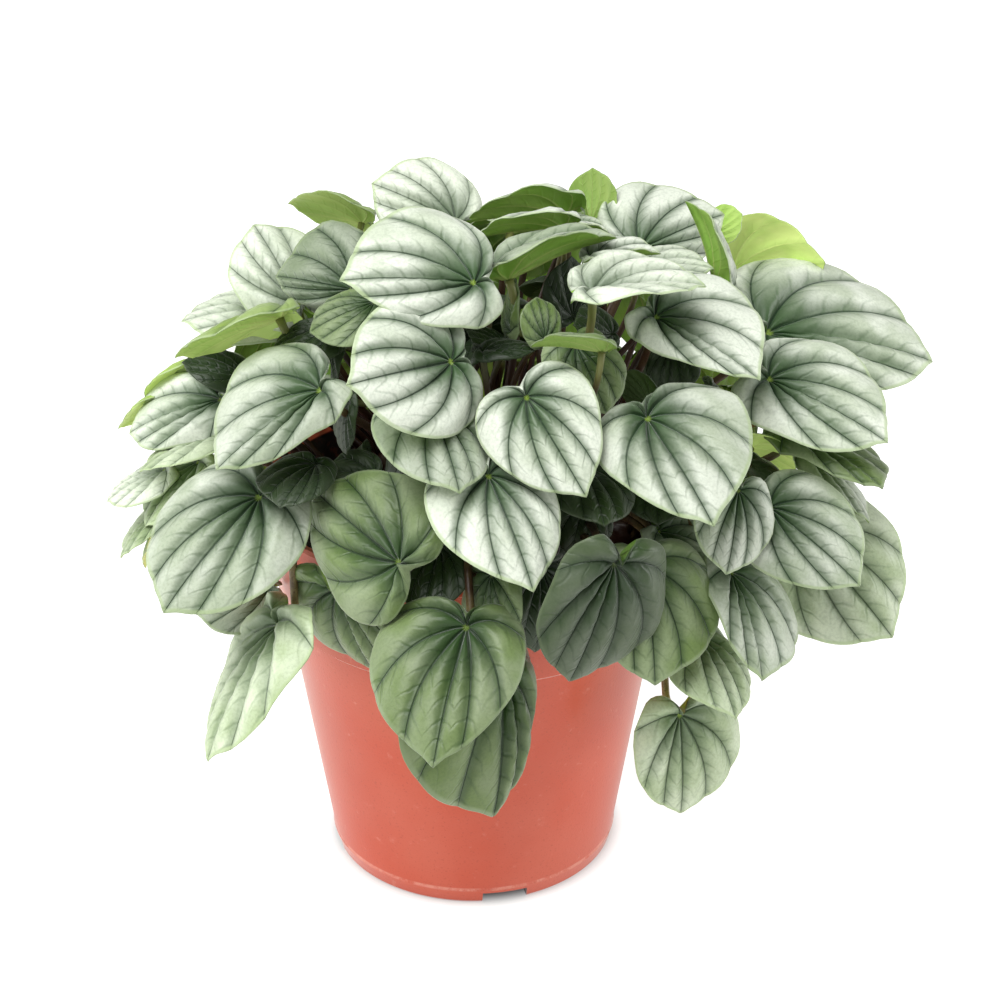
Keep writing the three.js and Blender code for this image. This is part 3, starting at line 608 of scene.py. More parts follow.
def repeated(values):
    """One value for each point of a closed tube's rings, with the two middle points' added."""
    return np.concatenate([values.ravel(), [values[0].mean(), values[-1].mean()]])


# What each point of a plant carries: millimetres from the nearest main vein, side veins
# passed, the reach from stalk to edge, and the leaf's look
ATTRIBUTES = ("away", "side", "reach", "silver", "fresh", "shade", "faint")


class Gathered:
    """Parts of one piece, put together in one mesh with several materials."""

    def __init__(self):
        self.points = []
        self.quads = []
        self.triangles = []
        self.quad_material = []
        self.triangle_material = []
        self.values = {name: [] for name in ATTRIBUTES}
        self.count = 0

    def add(self, points, quads, triangles, quad_material, triangle_material, **values):
        """Add a closed part. A material is one number, or one for each face."""
        self.points.append(points)
        self.quads.append(quads + self.count)
        self.triangles.append(triangles + self.count)
        self.quad_material.append(np.broadcast_to(quad_material, len(quads)))
        self.triangle_material.append(np.broadcast_to(triangle_material, len(triangles)))
        for name in ATTRIBUTES:
            self.values[name].append(np.broadcast_to(values.get(name, 0.0), len(points)))
        self.count += len(points)

    def piece(self, name, materials):
        """The finished object, with smooth faces and its attributes."""
        quads = np.vstack(self.quads)
        triangles = np.vstack(self.triangles)
        corners = np.concatenate([quads.ravel(), triangles.ravel()]).astype(np.int32)
        starts = np.concatenate(
            [4 * np.arange(len(quads)), 4 * len(quads) + 3 * np.arange(len(triangles))]
        ).astype(np.int32)
        which = np.concatenate(self.quad_material + self.triangle_material).astype(np.int32)
        mesh = bpy.data.meshes.new(name)
        mesh.vertices.add(self.count)
        placed = (np.vstack(self.points) + AXIS) * MM
        mesh.vertices.foreach_set("co", placed.astype(np.float32).ravel())
        mesh.loops.add(len(corners))
        mesh.loops.foreach_set("vertex_index", corners)
        mesh.polygons.add(len(starts))
        mesh.polygons.foreach_set("loop_start", starts)
        mesh.polygons.foreach_set("material_index", which)
        mesh.polygons.foreach_set("use_smooth", np.ones(len(starts), bool))
        for key in ATTRIBUTES:
            values = np.concatenate(self.values[key]).astype(np.float32)
            mesh.attributes.new(key, "FLOAT", "POINT").data.foreach_set("value", values)
        mesh.update(calc_edges=True)
        mesh.validate()
        for material in materials:
            mesh.materials.append(material)
        made = bpy.data.objects.new(name, mesh)
        bpy.context.scene.collection.objects.link(made)
        return made


# Curves

# A path whose bend is less than this share of its chord is taken for straight, and lies in
# the plane of its chord and this direction
STRAIGHT = 1e-3
ASIDE = (1.0, 0.3, 0.1)


def catmull_rom(knots, steps):
    """A centripetal Catmull-Rom curve through the knots, with steps samples in each span: the
    tangent at a knot weighs its two chords by the roots of their lengths."""
    knots = np.asarray(knots, float)
    ends = np.vstack([2 * knots[0] - knots[1], knots, 2 * knots[-1] - knots[-2]])
    before, here, there, after = ends[:-3], ends[1:-2], ends[2:-1], ends[3:]
    chords = (here - before, there - here, after - there)
    gap = [np.sqrt(np.linalg.norm(chord, axis=1))[:, None] for chord in chords]
    leave = (here - before) / gap[0] - (there - before) / (gap[0] + gap[1]) + (there - here) / gap[1]
    arrive = (there - here) / gap[1] - (after - here) / (gap[1] + gap[2]) + (after - there) / gap[2]
    leave = (leave * gap[1])[:, None, :]
    arrive = (arrive * gap[1])[:, None, :]
    t = (np.arange(steps) / steps)[None, :, None]
    here = here[:, None, :]
    there = there[:, None, :]
    spans = (
        here * (1 - 3 * t**2 + 2 * t**3)
        + there * (3 * t**2 - 2 * t**3)
        + leave * (t - 2 * t**2 + t**3)
        + arrive * (t**3 - t**2)
    )
    return np.vstack([spans.reshape(-1, knots.shape[1]), knots[-1]])


def bezier(first, second, third, fourth, steps):
    """A cubic Bezier curve between two points, with its two handles."""
    t = np.linspace(0, 1, steps + 1)[:, None]
    return first * (1 - t) ** 3 + 3 * second * t * (1 - t) ** 2 + 3 * third * t**2 * (1 - t) + fourth * t**3


def unit(vector):
    """A vector, or each of an array of vectors, at length one."""
    return vector / np.linalg.norm(vector, axis=-1, keepdims=True)


def turned_about(vector, axis, degrees):
    """A vector turned about a unit axis: the part along the axis stays, the rest turns."""
    angle = math.radians(degrees)
    along = axis * (axis @ vector)
    return along + (vector - along) * math.cos(angle) + np.cross(axis, vector) * math.sin(angle)


def tube_rings(path, radius, sides):
    """Rings round a path that lies nearly in one plane. Each ring stands square to the path,
    with one axis square to the path's plane."""
    tangent = unit(np.gradient(path, axis=0))
    chord = path[-1] - path[0]
    middle = path[len(path) // 2] - path[0]
    flat = np.cross(chord, middle)
    if np.linalg.norm(flat) < STRAIGHT * np.linalg.norm(chord) ** 2:
        flat = np.cross(chord, ASIDE)
    aside = unit(np.cross(np.cross(tangent, unit(flat)), tangent))
    other = np.cross(tangent, aside)
    angle = 2 * np.pi * np.arange(sides) / sides
    angle = angle[None, :, None]
    spoke = aside[:, None, :] * np.cos(angle) + other[:, None, :] * np.sin(angle)
    return path[:, None, :] + spoke * np.reshape(radius, (-1, 1, 1))


# Leaf places

TILT = math.radians(VIEW["tilt"])
ACROSS = np.array([1.0, 0.0, 0.0])
UPWARD = np.array([0.0, math.sin(TILT), math.cos(TILT)])
AWAY = np.array([0.0, math.cos(TILT), -math.sin(TILT)])
EYE = np.array(VIEW["aim"]) - AWAY * VIEW["distance"]


def sight(pixel):
    """The line of sight through a pixel, one millimetre deep."""
    right = (pixel[0] - VIEW["middle"]) / VIEW["lens"]
    up = (VIEW["middle"] - pixel[1]) / VIEW["lens"]
    return AWAY + ACROSS * right + UPWARD * up


def shown_at(point):
    """The pixel at which the front view shows a point."""
    off = point - EYE
    scale = VIEW["lens"] / (off @ AWAY)
    return [VIEW["middle"] + off @ ACROSS * scale, VIEW["middle"] - off @ UPWARD * scale]


def dome_depth(pixel):
    """How deep the line of sight through a pixel meets the dome's near side: the smaller
    root of the ellipsoid's quadratic, or its turning point where the line misses."""
    along = sight(pixel) / DOME_RADIUS
    start = (EYE - DOME_CENTRE) / DOME_RADIUS
    a = along @ along
    b = start @ along
    c = start @ start - 1
    return (-b - math.sqrt(max(b * b - a * c, 0))) / a


def dome_normal(point):
    """The dome's outward direction at a point."""
    return unit((point - DOME_CENTRE) / DOME_RADIUS**2)


def cross(one, other):
    """The signed area between two flat vectors."""
    return one[0] * other[1] - one[1] * other[0]


def seen_leaf(attach, tip, sides, lift, under=False):
    """The place of a leaf seen from the front. Its length and its width are seen
    foreshortened by different amounts, and as they are square to each other in a known
    ratio, that gives the leaf's turn in space. Of the two answers the one that faces out of
    the dome is kept."""
    ratio = WIDTH_TO_LENGTH
    depth = dome_depth(attach) - lift
    scale = depth / VIEW["lens"]
    origin = EYE + sight(attach) * depth

    def seen(x, y):
        return np.array([(x - attach[0]) * scale, (attach[1] - y) * scale])

    midrib = seen(*tip)
    near = seen(*sides[:2])
    far = seen(*sides[2:])
    swapped = cross(midrib, far - near) * (-1 if under else 1) > 0
    if swapped:
        near, far = far, near
    width = far - near
    slant = cross(midrib, width)
    total = width @ width + ratio**2 * (midrib @ midrib)
    root = math.sqrt(max(total**2 - 4 * ratio**2 * slant**2, 0))
    size = math.sqrt((total + root) / 2) / ratio
    midrib_depth = math.sqrt(max(1 - midrib @ midrib / size**2, 0))
    width_depth = math.sqrt(max(1 - width @ width / (ratio * size) ** 2, 0))
    if midrib @ width > 0:
        width_depth = -width_depth
    outward = dome_normal(origin)
    answers = []
    for sign in (1, -1):
        along = unit(ACROSS * midrib[0] / size + UPWARD * midrib[1] / size - AWAY * sign * midrib_depth)
        across = ACROSS * width[0] + UPWARD * width[1] - AWAY * sign * width_depth * size * ratio
        across = unit(across - along * (across @ along))
        normal = np.cross(across, along)
        score = normal @ outward + UPWARD_WEIGHT * normal[2]
        answers.append((score, along, across, normal))
    _, along, across, normal = answers[0] if answers[0][0] >= answers[1][0] else answers[1]
    return {
        "origin": origin,
        "size": size,
        "along": along,
        "across": across,
        "normal": normal,
        "belly": min(max(cross(near, width) / slant, BELLY_RANGE[0]), BELLY_RANGE[1]),
        "share": min(max(-cross(midrib, near) / slant, SHARE_RANGE[0]), SHARE_RANGE[1]),
        "fold": 0.0,
        "swapped": swapped,
    }


def fitted_leaf(settings, attach, tip, sides, lift, under=False):
    """A leaf whose tip and sides, once arched and drooped, show where the front view has
    them: each round moves the points read by what the last blade missed them by."""
    aim = np.array([*tip, *sides], float)
    moved = np.zeros(len(aim))
    for _ in range(FIT["rounds"]):
        guess = aim + moved
        leaf = seen_leaf(attach, guess[:2], guess[2:], lift, under)
        left = [-leaf["share"] * WIDTH_TO_LENGTH, leaf["belly"]]
        right = [(1 - leaf["share"]) * WIDTH_TO_LENGTH, leaf["belly"]]
        places = np.array([[0, 1], right, left] if leaf["swapped"] else [[0, 1], left, right])
        points = blade_points(leaf, places[:, 0], places[:, 1], np.ones(3), settings)
        shown = np.concatenate([shown_at(point) for point in points])
        moved = np.clip(moved + aim - shown, -FIT["most"], FIT["most"])
    guess = aim + moved
    return seen_leaf(attach, guess[:2], guess[2:], lift, under)


def folded_leaf(attach, tip, face, fold, lift):
    """A leaf seen edge-on and folded along its midrib, which shows at its full length. Its
    face is square to the line of sight but for its lean."""
    depth = dome_depth(attach) - lift
    scale = depth / VIEW["lens"]
    along = ACROSS * (tip[0] - attach[0]) * scale + UPWARD * (attach[1] - tip[1]) * scale
    size = np.linalg.norm(along)
    along = along / size
    origin = EYE + sight(attach) * depth
    normal = np.cross(along, AWAY)
    if normal @ dome_normal(origin) < 0:
        normal = -normal
    lean = math.radians(face)
    normal = normal * math.cos(lean) - AWAY * math.sin(lean)
    return {
        "origin": origin,
        "size": size,
        "along": along,
        "across": np.cross(along, normal),
        "normal": normal,
        "belly": WIDEST,
        "share": 0.5,
        "fold": math.radians(fold),
    }


def placed_leaf(settings, look, lift, attach, tip, shape, side="upper"):
    """A leaf of the table, with its look."""
    if len(shape) == 2:
        leaf = folded_leaf(attach, tip, *shape, lift)
    else:
        leaf = fitted_leaf(settings, attach, tip, shape, lift, side == "under")
    leaf["look"] = look
    return leaf


def draws(seed):
    """Seeded draws between -1 and 1: each state is a multiple of the last, modulo a prime."""
    state = seed
    while True:
        state = state * DRAW_STEP % DRAW_RANGE
        yield 2 * state / DRAW_RANGE - 1


def dome_leaf(rise, azimuth, lift, turn, pitch, shingle, size, share_left):
    """A leaf at a place on the dome, its tip downhill, turned on the dome's surface, then
    pitched up at its tip and tilted to one side."""
    rise, azimuth = math.radians(rise), math.radians(azimuth)
    outward = np.array(
        [math.cos(rise) * math.cos(azimuth), math.cos(rise) * math.sin(azimuth), math.sin(rise)]
    )
    origin = outward * DOME_RADIUS + DOME_CENTRE + outward * lift
    normal = dome_normal(origin)
    down = np.array([0.0, 0.0, -1.0])
    along = unit(down - normal * (down @ normal))
    along = turned_about(along, normal, turn)
    across = unit(np.cross(along, normal))
    along = turned_about(along, across, -pitch)
    normal = turned_about(normal, across, -pitch)
    across = turned_about(across, along, shingle)
    normal = turned_about(normal, along, shingle)
    return {
        "origin": origin,
        "size": size,
        "along": along,
        "across": across,
        "normal": normal,
        "belly": WIDEST,
        "share": share_left,
        "fold": 0.0,
    }


def ring_leaf(ring, azimuth, draw):
    """A leaf on the back of the dome."""
    leaf = dome_leaf(
        rise=ring["rise"] + BACK["spread"] * next(draw),
        azimuth=azimuth + BACK["spread"] * next(draw),
        lift=ring["lift"],
        turn=BACK["turn"] * next(draw),
        pitch=BACK["pitch"],
        shingle=BACK["shingle"],
        size=ring["length"] * (1 + BACK["size_spread"] * next(draw)),
        share_left=0.5 + BACK["share_spread"] * next(draw),
    )
    leaf["look"] = ring["look"]
    return leaf


def young_leaf(draw):
    """A young leaf at a drawn place inside the dome."""
    leaf = dome_leaf(
        rise=YOUNG["rise"] + YOUNG["rise_spread"] * next(draw),
        azimuth=180 * next(draw),
        lift=-YOUNG["inward"] - YOUNG["inward_spread"] * next(draw),
        turn=BACK["turn"] * next(draw),
        pitch=YOUNG["pitch"],
        shingle=BACK["shingle"] * next(draw),
        size=YOUNG["length"] + YOUNG["length_spread"] * next(draw),
        share_left=0.5,
    )
    # Young leaves deep inside the dome take the darkest painted shade
    leaf["look"] = "dark"
    return leaf


def crown_places(leaves):
    """Where each leaf's stalk leaves the crown: the higher the leaf, the nearer the top."""
    order = sorted(range(len(leaves)), key=lambda i: leaves[i]["origin"][2])
    places = []
    for i in range(len(leaves)):
        rank = order.index(i)
        height = (rank + 0.5) / len(leaves)
        places.append(
            {
                "height": CROWN["lowest"] + CROWN["climb"] * height,
                "out": 1 - CROWN["gather"] * height**2,
                "turn": CROWN["spread"] * (rank % CROWN["layers"] - 1),
                "layer": rank % CROWN["layers"],
            }
        )
    return places


def all_leaves(settings):
    """Each plantlet's leaves with their places on its crown: those read from the front view,
    then the rings at the back, then the young leaves inside."""
    leaves = {name: [placed_leaf(settings, *row) for row in rows] for name, rows in LEAVES.items()}
    draw = draws(BACK["seed"])
    for ring in BACK_RINGS:
        for i in range(ring["count"]):
            azimuth = ring["from"] + (ring["to"] - ring["from"]) * i / (ring["count"] - 1)
            if azimuth < BACK["split"][0]:
                name = "back_right"
            elif azimuth < BACK["split"][1]:
                name = "back"
            else:
                name = "back_left"
            leaves[name].append(ring_leaf(ring, azimuth, draw))
    grown = {name: list(zip(group, crown_places(group))) for name, group in leaves.items()}
    for i in range(max(YOUNG["kept"]) + 1):
        leaf = young_leaf(draw)
        if i in YOUNG["kept"]:
            gaps = {name: math.dist(leaf["origin"][:2], crown) for name, crown in CROWNS.items()}
            grown[min(gaps, key=gaps.get)].append((leaf, YOUNG["place"]))
    return grown


# Leaf blades


def blade_points(leaf, x, y, out, settings):
    """Points of a blade from their place across and along it, in shares of its length, and
    their reach from the stalk (0) to the edge (1). The blade arches between the two, its
    sides droop, its edge has slow waves, and its halves are folded up."""
    angle = np.arctan2(x, y)
    height = (
        settings.bulge * 4 * out * (1 - out)
        - settings.side_droop * (out * np.sin(angle)) ** 2
        + settings.wave * out**2 * np.sin(2 * EDGE_WAVES * angle + leaf["size"])
        + np.abs(x) * math.sin(leaf["fold"])
    )
    flat = x * math.cos(leaf["fold"])
    place = flat[..., None] * leaf["across"] + y[..., None] * leaf["along"]
    return leaf["origin"] + leaf["size"] * (place + height[..., None] * leaf["normal"])


def depth_of(leaf, settings):
    """How far the under face is from the upper one along the leaf's normal, so that a folded
    half keeps its thickness."""
    return settings.thickness / MM / math.cos(leaf["fold"])


def edge_of_half(places):
    """Points along half of a leaf's edge at shares of its arc length, from tip (0) to notch
    (1): a Catmull-Rom curve through the outline, read off at equal steps of length. A narrow
    hump at the tip draws it out to a point."""
    dense = catmull_rom(HALF_OUTLINE, BLADE["outline_steps"])
    travelled = np.concatenate([[0], np.cumsum(np.linalg.norm(np.diff(dense, axis=0), axis=1))])
    travelled = travelled / travelled[-1]
    edge = np.stack([np.interp(places, travelled, dense[:, k]) for k in (0, 1)], -1)
    edge[:, 1] += DRIP_TIP["length"] * np.exp(-((edge[:, 0] / DRIP_TIP["width"]) ** 2)) * (edge[:, 1] > 0)
    return edge


def blade_rings(leaf, settings, columns_per_vein, rows):
    """The upper surface of a blade as rings from the stalk's end out to the edge. Columns
    run along the veins: each leaves the stalk turned back from its end at the edge and
    curves forward to it, as a quadratic Bezier. The blade swells between sunken main veins,
    and less so between its side veins. Returns the points in millimetres, the distance from
    the nearest main vein, the count of side veins passed, and the reach."""
    columns = int(2 * NOTCH_PLACE * columns_per_vein)
    place = -NOTCH_PLACE + 2 * NOTCH_PLACE * np.arange(columns) / columns
    edge = edge_of_half((np.abs(place) / NOTCH_PLACE) ** VEIN_CROWDING)
    sides = np.where(place > 0, 1 - leaf["share"], -leaf["share"])
    belly = leaf["belly"]
    upper = belly + (edge[:, 1] - WIDEST) / (1 - WIDEST) * (1 - belly)
    lower = LOBE + (edge[:, 1] - LOBE) / (WIDEST - LOBE) * (belly - LOBE)
    edge_y = np.where(edge[:, 1] > WIDEST, upper, lower)
    edge_x = edge[:, 0] * sides * WIDTH_TO_LENGTH
    rank = np.abs(place)
    from_vein = np.abs(rank - np.round(rank))
    swell = 1 - (1 - 2 * from_vein) ** BLADE["swell_power"]
    scallop = 1 - BLADE["scallop"] * (1 - swell) * (rank > 0.5)
    edge_x = edge_x * scallop
    edge_y = edge_y * scallop
    bearing = np.arctan2(edge_x, edge_y)
    sweep = math.radians(VEIN_SWEEP) * np.abs(np.sin(bearing)) ** VEIN_SWEEP_POWER * np.sign(bearing)
    reach_out = np.hypot(edge_x, edge_y)
    handle_x = VEIN_HANDLE * reach_out * np.sin(bearing + sweep)
    handle_y = VEIN_HANDLE * reach_out * np.cos(bearing + sweep)
    reach = np.linspace(BLADE["first_ring"], BLADE["last_ring"], rows - 1)
    reach = np.concatenate([reach, [1.0]])[:, None]
    x = 2 * reach * (1 - reach) * handle_x + reach**2 * edge_x
    y = 2 * reach * (1 - reach) * handle_y + reach**2 * edge_y
    reach = np.broadcast_to(reach, x.shape)
    rings = blade_points(leaf, x, y, reach, settings)
    round_step = (np.roll(rings, -1, 1) - np.roll(rings, 1, 1)) * columns_per_vein / 2
    out_step = unit(np.gradient(rings, axis=0))
    pitch = np.linalg.norm(np.cross(round_step, out_step), axis=-1)
    grain = min(leaf["size"] / FULL_LENGTH, 1)
    away = from_vein * pitch
    travelled = reach * reach_out * leaf["size"]
    bend = BLADE["side_vein_bend"] * away**2 / grain
    side = (travelled - BLADE["side_vein_slope"] * away - bend) / (SIDE_VEIN_STEP * grain)
    between = 0.5 - 0.5 * np.cos(2 * np.pi * side)
    fade = np.clip(reach / BLADE["quilt_from"], 0, 1) * (1 - BLADE["quilt_loss"] * reach**3)
    form = swell - 0.5 + BLADE["side_quilt"] * swell * (between - 0.5)
    rings = rings + (settings.quilting / MM * grain * fade * form)[..., None] * leaf["normal"]
    faint_last = BLADE["faint_last"] * np.clip(rank - (LAST_VEIN - 0.5), 0, 1)
    return rings, away / grain + faint_last, side, reach


def add_blade(gathered, leaf, settings):
    """A thin closed blade: the upper surface, a rounded edge and the same surface beneath."""
    silver, fresh, shade, faint = LOOKS[leaf["look"]]
    silver += LOOK_SPREAD["silver"] * leaf["difference"]
    shade += LOOK_SPREAD["shade"] * abs(leaf["difference"])
    kind = "large" if leaf["size"] > LARGE_LEAF else "small" if leaf["size"] < SMALL_LEAF else "middle"
    columns_per_vein, rows = BLADE_GRID[kind]
    top, away, side, reach = blade_rings(leaf, settings, columns_per_vein, rows)
    thinning = 1 - BLADE["edge_loss"] * reach[..., None] ** BLADE["edge_loss_power"]
    bottom = (top - leaf["normal"] * (depth_of(leaf, settings) * thinning))[::-1]
    outward = unit(top[-1] - top[-3])
    rim = (top[-1] + bottom[0]) / 2 + outward * BLADE["edge_round"]
    rings = np.concatenate([top, rim[None], bottom])
    points, quads, triangles = closed_tube(rings)
    columns = rings.shape[1]
    beneath = np.arange(len(rings) - 1) > rows
    quad_material = np.repeat(np.where(beneath, BACK_MATERIAL, TOP_MATERIAL), columns)
    triangle_material = np.repeat([TOP_MATERIAL, BACK_MATERIAL], columns)

    def both(values):
        return repeated(np.concatenate([values, values[-1:], values[::-1]]))

    marks = {"away": both(away), "side": both(side), "reach": both(reach)}
    look = {"silver": silver, "fresh": fresh, "shade": shade, "faint": faint}
    gathered.add(points, quads, triangles, quad_material, triangle_material, **marks, **look)


# Stalks and crowns


def stalk_turns_out(leaf, settings):
    """Whether a stalk hangs over the rim: its end, a little in from the attachment towards
    the midrib and one flank, is outside the pot and low."""
    places = np.array([(0, 0, 0), STALK_END["rib"], STALK_END["flank"]])
    places[2, 0] *= 1 - leaf["share"]
    shares = np.array(STALK_END["weights"])
    end = shares @ blade_points(leaf, *places.T, settings) - leaf["normal"] * depth_of(leaf, settings) / 2
    return math.hypot(end[0], end[1]) > OVER_RIM["radius"] and end[2] < OVER_RIM["top"] + OVER_RIM["below"]


def stalk_path(leaf, crown, place, settings):
    """A stalk's route: up out of its own place on the crown and into the blade from behind
    and beneath, over the rim where the leaf hangs low outside the pot."""
    end = leaf["origin"] - leaf["normal"] * depth_of(leaf, settings) * STALK_ROUTE["into"]
    toward = math.atan2(end[1] - crown[1], end[0] - crown[0]) + place["turn"]
    outward = np.array([math.cos(toward), math.sin(toward), 0.0])
    start = np.array([crown[0], crown[1], SOIL_TOP + CROWN["rise"] * place["height"]])
    start = start + outward * (CROWN["radius"] - CROWN["sunk"]) * place["out"]
    reach = np.linalg.norm(end - start)
    if stalk_turns_out(leaf, settings):
        turn = math.atan2(end[1], end[0]) + OVER_RIM["aside"] * (place["layer"] - 1)
        radial = np.array([math.cos(turn), math.sin(turn), 0.0])
        up = np.array([0.0, 0.0, OVER_RIM["top"] + OVER_RIM["apart"] * place["layer"]])
        over = radial * (OVER_RIM["radius"] - OVER_RIM["inside"]) + up + [0, 0, OVER_RIM["high"]]
        out = radial * (OVER_RIM["radius"] + OVER_RIM["outside"]) + up + [0, 0, OVER_RIM["low"]]
        hang = end - leaf["normal"] * STALK_ROUTE["hang"] * reach
        return catmull_rom([start, over, out, hang, end], STALK_STEPS["over_rim"])
    first = start + np.array([0, 0, STALK_ROUTE["rise"] * reach]) + outward * STALK_ROUTE["spread"] * reach
    last = end - leaf["normal"] * STALK_ROUTE["arrive"] * reach
    return bezier(start, first, last, end, STALK_STEPS["free"])


def add_stalk(gathered, leaf, crown, place, settings, leaf_settings):
    """A round stalk, thicker where it leaves the crown and where it meets the blade."""
    path = stalk_path(leaf, crown, place, leaf_settings)
    radius = (settings.small_radius if leaf["size"] < SMALL_LEAF else settings.radius) / MM
    along = np.linspace(0, 1, len(path))
    form = STALK_FORM
    swell = form["foot"] * np.exp(-form["foot_fade"] * along) - form["taper"] * along
    swell = swell + form["neck"] * np.exp(form["neck_fade"] * (along - 1))
    rings = tube_rings(path, radius * (1 + swell), form["sides"])
    points, quads, triangles = closed_tube(rings[:, ::-1])
    reach = repeated(np.broadcast_to(along[:, None], rings.shape[:2]))
    # Stalks inside the plant keep little of their paleness: painted shade for the shade among the leaves. A
    # stalk also takes its leaf's painted shade.
    pale = STALK_PALE["outside"] if stalk_turns_out(leaf, leaf_settings) else STALK_PALE["inside"]
    skin = STALK_MATERIAL
    _, _, shade, _ = LOOKS[leaf["look"]]
    gathered.add(points, quads, triangles, skin, skin, reach=reach, fresh=pale, shade=shade)


def turned_rings(profile, sides):
    """A profile of radius and height turned round the upright axis, as rings."""
    profile = np.asarray(profile, float)
    angle = 2 * np.pi * np.arange(sides) / sides
    circle = np.stack([np.cos(angle), np.sin(angle)], -1)
    rings = np.zeros((len(profile), sides, 3))
    rings[..., :2] = profile[:, None, :1] * circle[None]
    rings[..., 2] = profile[:, None, 1]
    return rings


def add_crown(gathered, crown):
    """A knobbly short stem, sunk in its hole in the soil: a turned dome whose radius swells
    and shrinks where old stalks left it."""
    top = SOIL_TOP + CROWN["rise"]
    bottom = SOIL_TOP - CROWN["depth"] + CROWN["gap"]
    radius = CROWN["radius"]
    knots = [[radius * share, bottom + up] for share, up in CROWN["foot_profile"]]
    knots += [[radius * share, top - down * CROWN["rise"]] for share, down in CROWN["top_profile"]]
    rings = turned_rings(catmull_rom(knots, CROWN["steps"]), CROWN["sides"])
    angle = np.arctan2(rings[..., 1], rings[..., 0])
    wave = np.sin(CROWN["knobs"] * angle + CROWN["knob_twist"] * rings[..., 2])
    knobs = 1 + CROWN["knob"] * wave * (rings[..., 2] > SOIL_TOP)
    rings[..., :2] *= knobs[..., None]
    rings = rings + [crown[0], crown[1], 0]
    skin = STALK_MATERIAL
    # The crown is darkened with painted shade, for the shade under the leaves
    gathered.add(*closed_tube(rings), skin, skin, reach=CROWN["reach"], shade=CROWN["shade"])


# Materials

SMOOTH = {"interpolation_type": "SMOOTHSTEP"}
COLOUR = {"data_type": "RGBA"}


def node(tree, kind, inputs=(), **settings):
    """Adds a node, sets its fields, and fills or links its inputs, which are given in order,
    or by name or number. A node given as an input is linked from its first enabled output."""
    made = tree.nodes.new(kind)
    for key, value in settings.items():
        setattr(made, key, value)
    for key, value in inputs.items() if isinstance(inputs, dict) else enumerate(inputs):
        if isinstance(value, bpy.types.Node):
            value = next(output for output in value.outputs if output.enabled)
        if isinstance(value, bpy.types.NodeSocket):
            tree.links.new(value, made.inputs[key])
        else:
            made.inputs[key].default_value = value
    return made


def opaque(rgb):
    """A colour with full opacity, as a socket takes it."""
    return (*rgb, 1.0)


def new_material(name):
    """An empty material; returns it with its node tree and the object's own coordinates."""
    material = bpy.data.materials.new(name)
    material.use_nodes = True
    tree = material.node_tree
    tree.nodes.clear()
    return material, tree, node(tree, "ShaderNodeTexCoord").outputs["Object"]


def attributes(tree):
    """What the mesh carries at each point, by name."""
    return {
        name: node(tree, "ShaderNodeAttribute", attribute_name=name).outputs["Fac"] for name in ATTRIBUTES
    }


def vein_marks(tree, place, carried):
    """How strongly a vein marks each place of a blade, from 0 to 1: the line of a main vein,
    the dark halo beside it, which narrows from the stalk to the edge and has a ragged border,
    and the thin side veins, which fade on their way to the next main vein."""
    reach = carried["reach"]
    wander = {"Vector": place, "Scale": 1 / (8 * MM), "Detail": 2.0}
    wander = node(tree, "ShaderNodeTexNoise", wander)
    line_width = node(tree, "ShaderNodeMapRange", (reach, 0.05, 1.0, 0.7, 0.24))
    line_off = node(tree, "ShaderNodeMath", (carried["away"], line_width), operation="DIVIDE")
    line = node(tree, "ShaderNodeMapRange", (line_off, 0.1, 1.0, 1.0, 0.0), **SMOOTH)
    halo_width = node(tree, "ShaderNodeMapRange", (reach, 0.1, 1.0, 8.0, 2.6))
    ragged = node(tree, "ShaderNodeMath", (wander, 3.0, -1.5), operation="MULTIPLY_ADD")
    ragged_off = node(tree, "ShaderNodeMath", (carried["away"], ragged), operation="ADD")
    halo_off = node(tree, "ShaderNodeMath", (ragged_off, halo_width), operation="DIVIDE")
    halo = node(tree, "ShaderNodeMapRange", (halo_off, -0.25, 1.0, 1.0, 0.0), **SMOOTH)
    bent = node(tree, "ShaderNodeMath", (wander, 1.1, carried["side"]), operation="MULTIPLY_ADD")
    side_off = node(tree, "ShaderNodeMath", (bent, 0.5), operation="PINGPONG")
    side_line = node(tree, "ShaderNodeMapRange", (side_off, 0.0, 0.16, 1.0, 0.0), **SMOOTH)
    thinning = node(tree, "ShaderNodeMapRange", (carried["away"], 0.5, 8.0, 1.0, 0.0), **SMOOTH)
    fading = node(tree, "ShaderNodeMapRange", (reach, 0.12, 0.3, 0.0, 1.0), **SMOOTH)
    side_line = node(tree, "ShaderNodeMath", (side_line, thinning), operation="MULTIPLY")
    side_line = node(tree, "ShaderNodeMath", (side_line, fading), operation="MULTIPLY")
    return line, halo, side_line


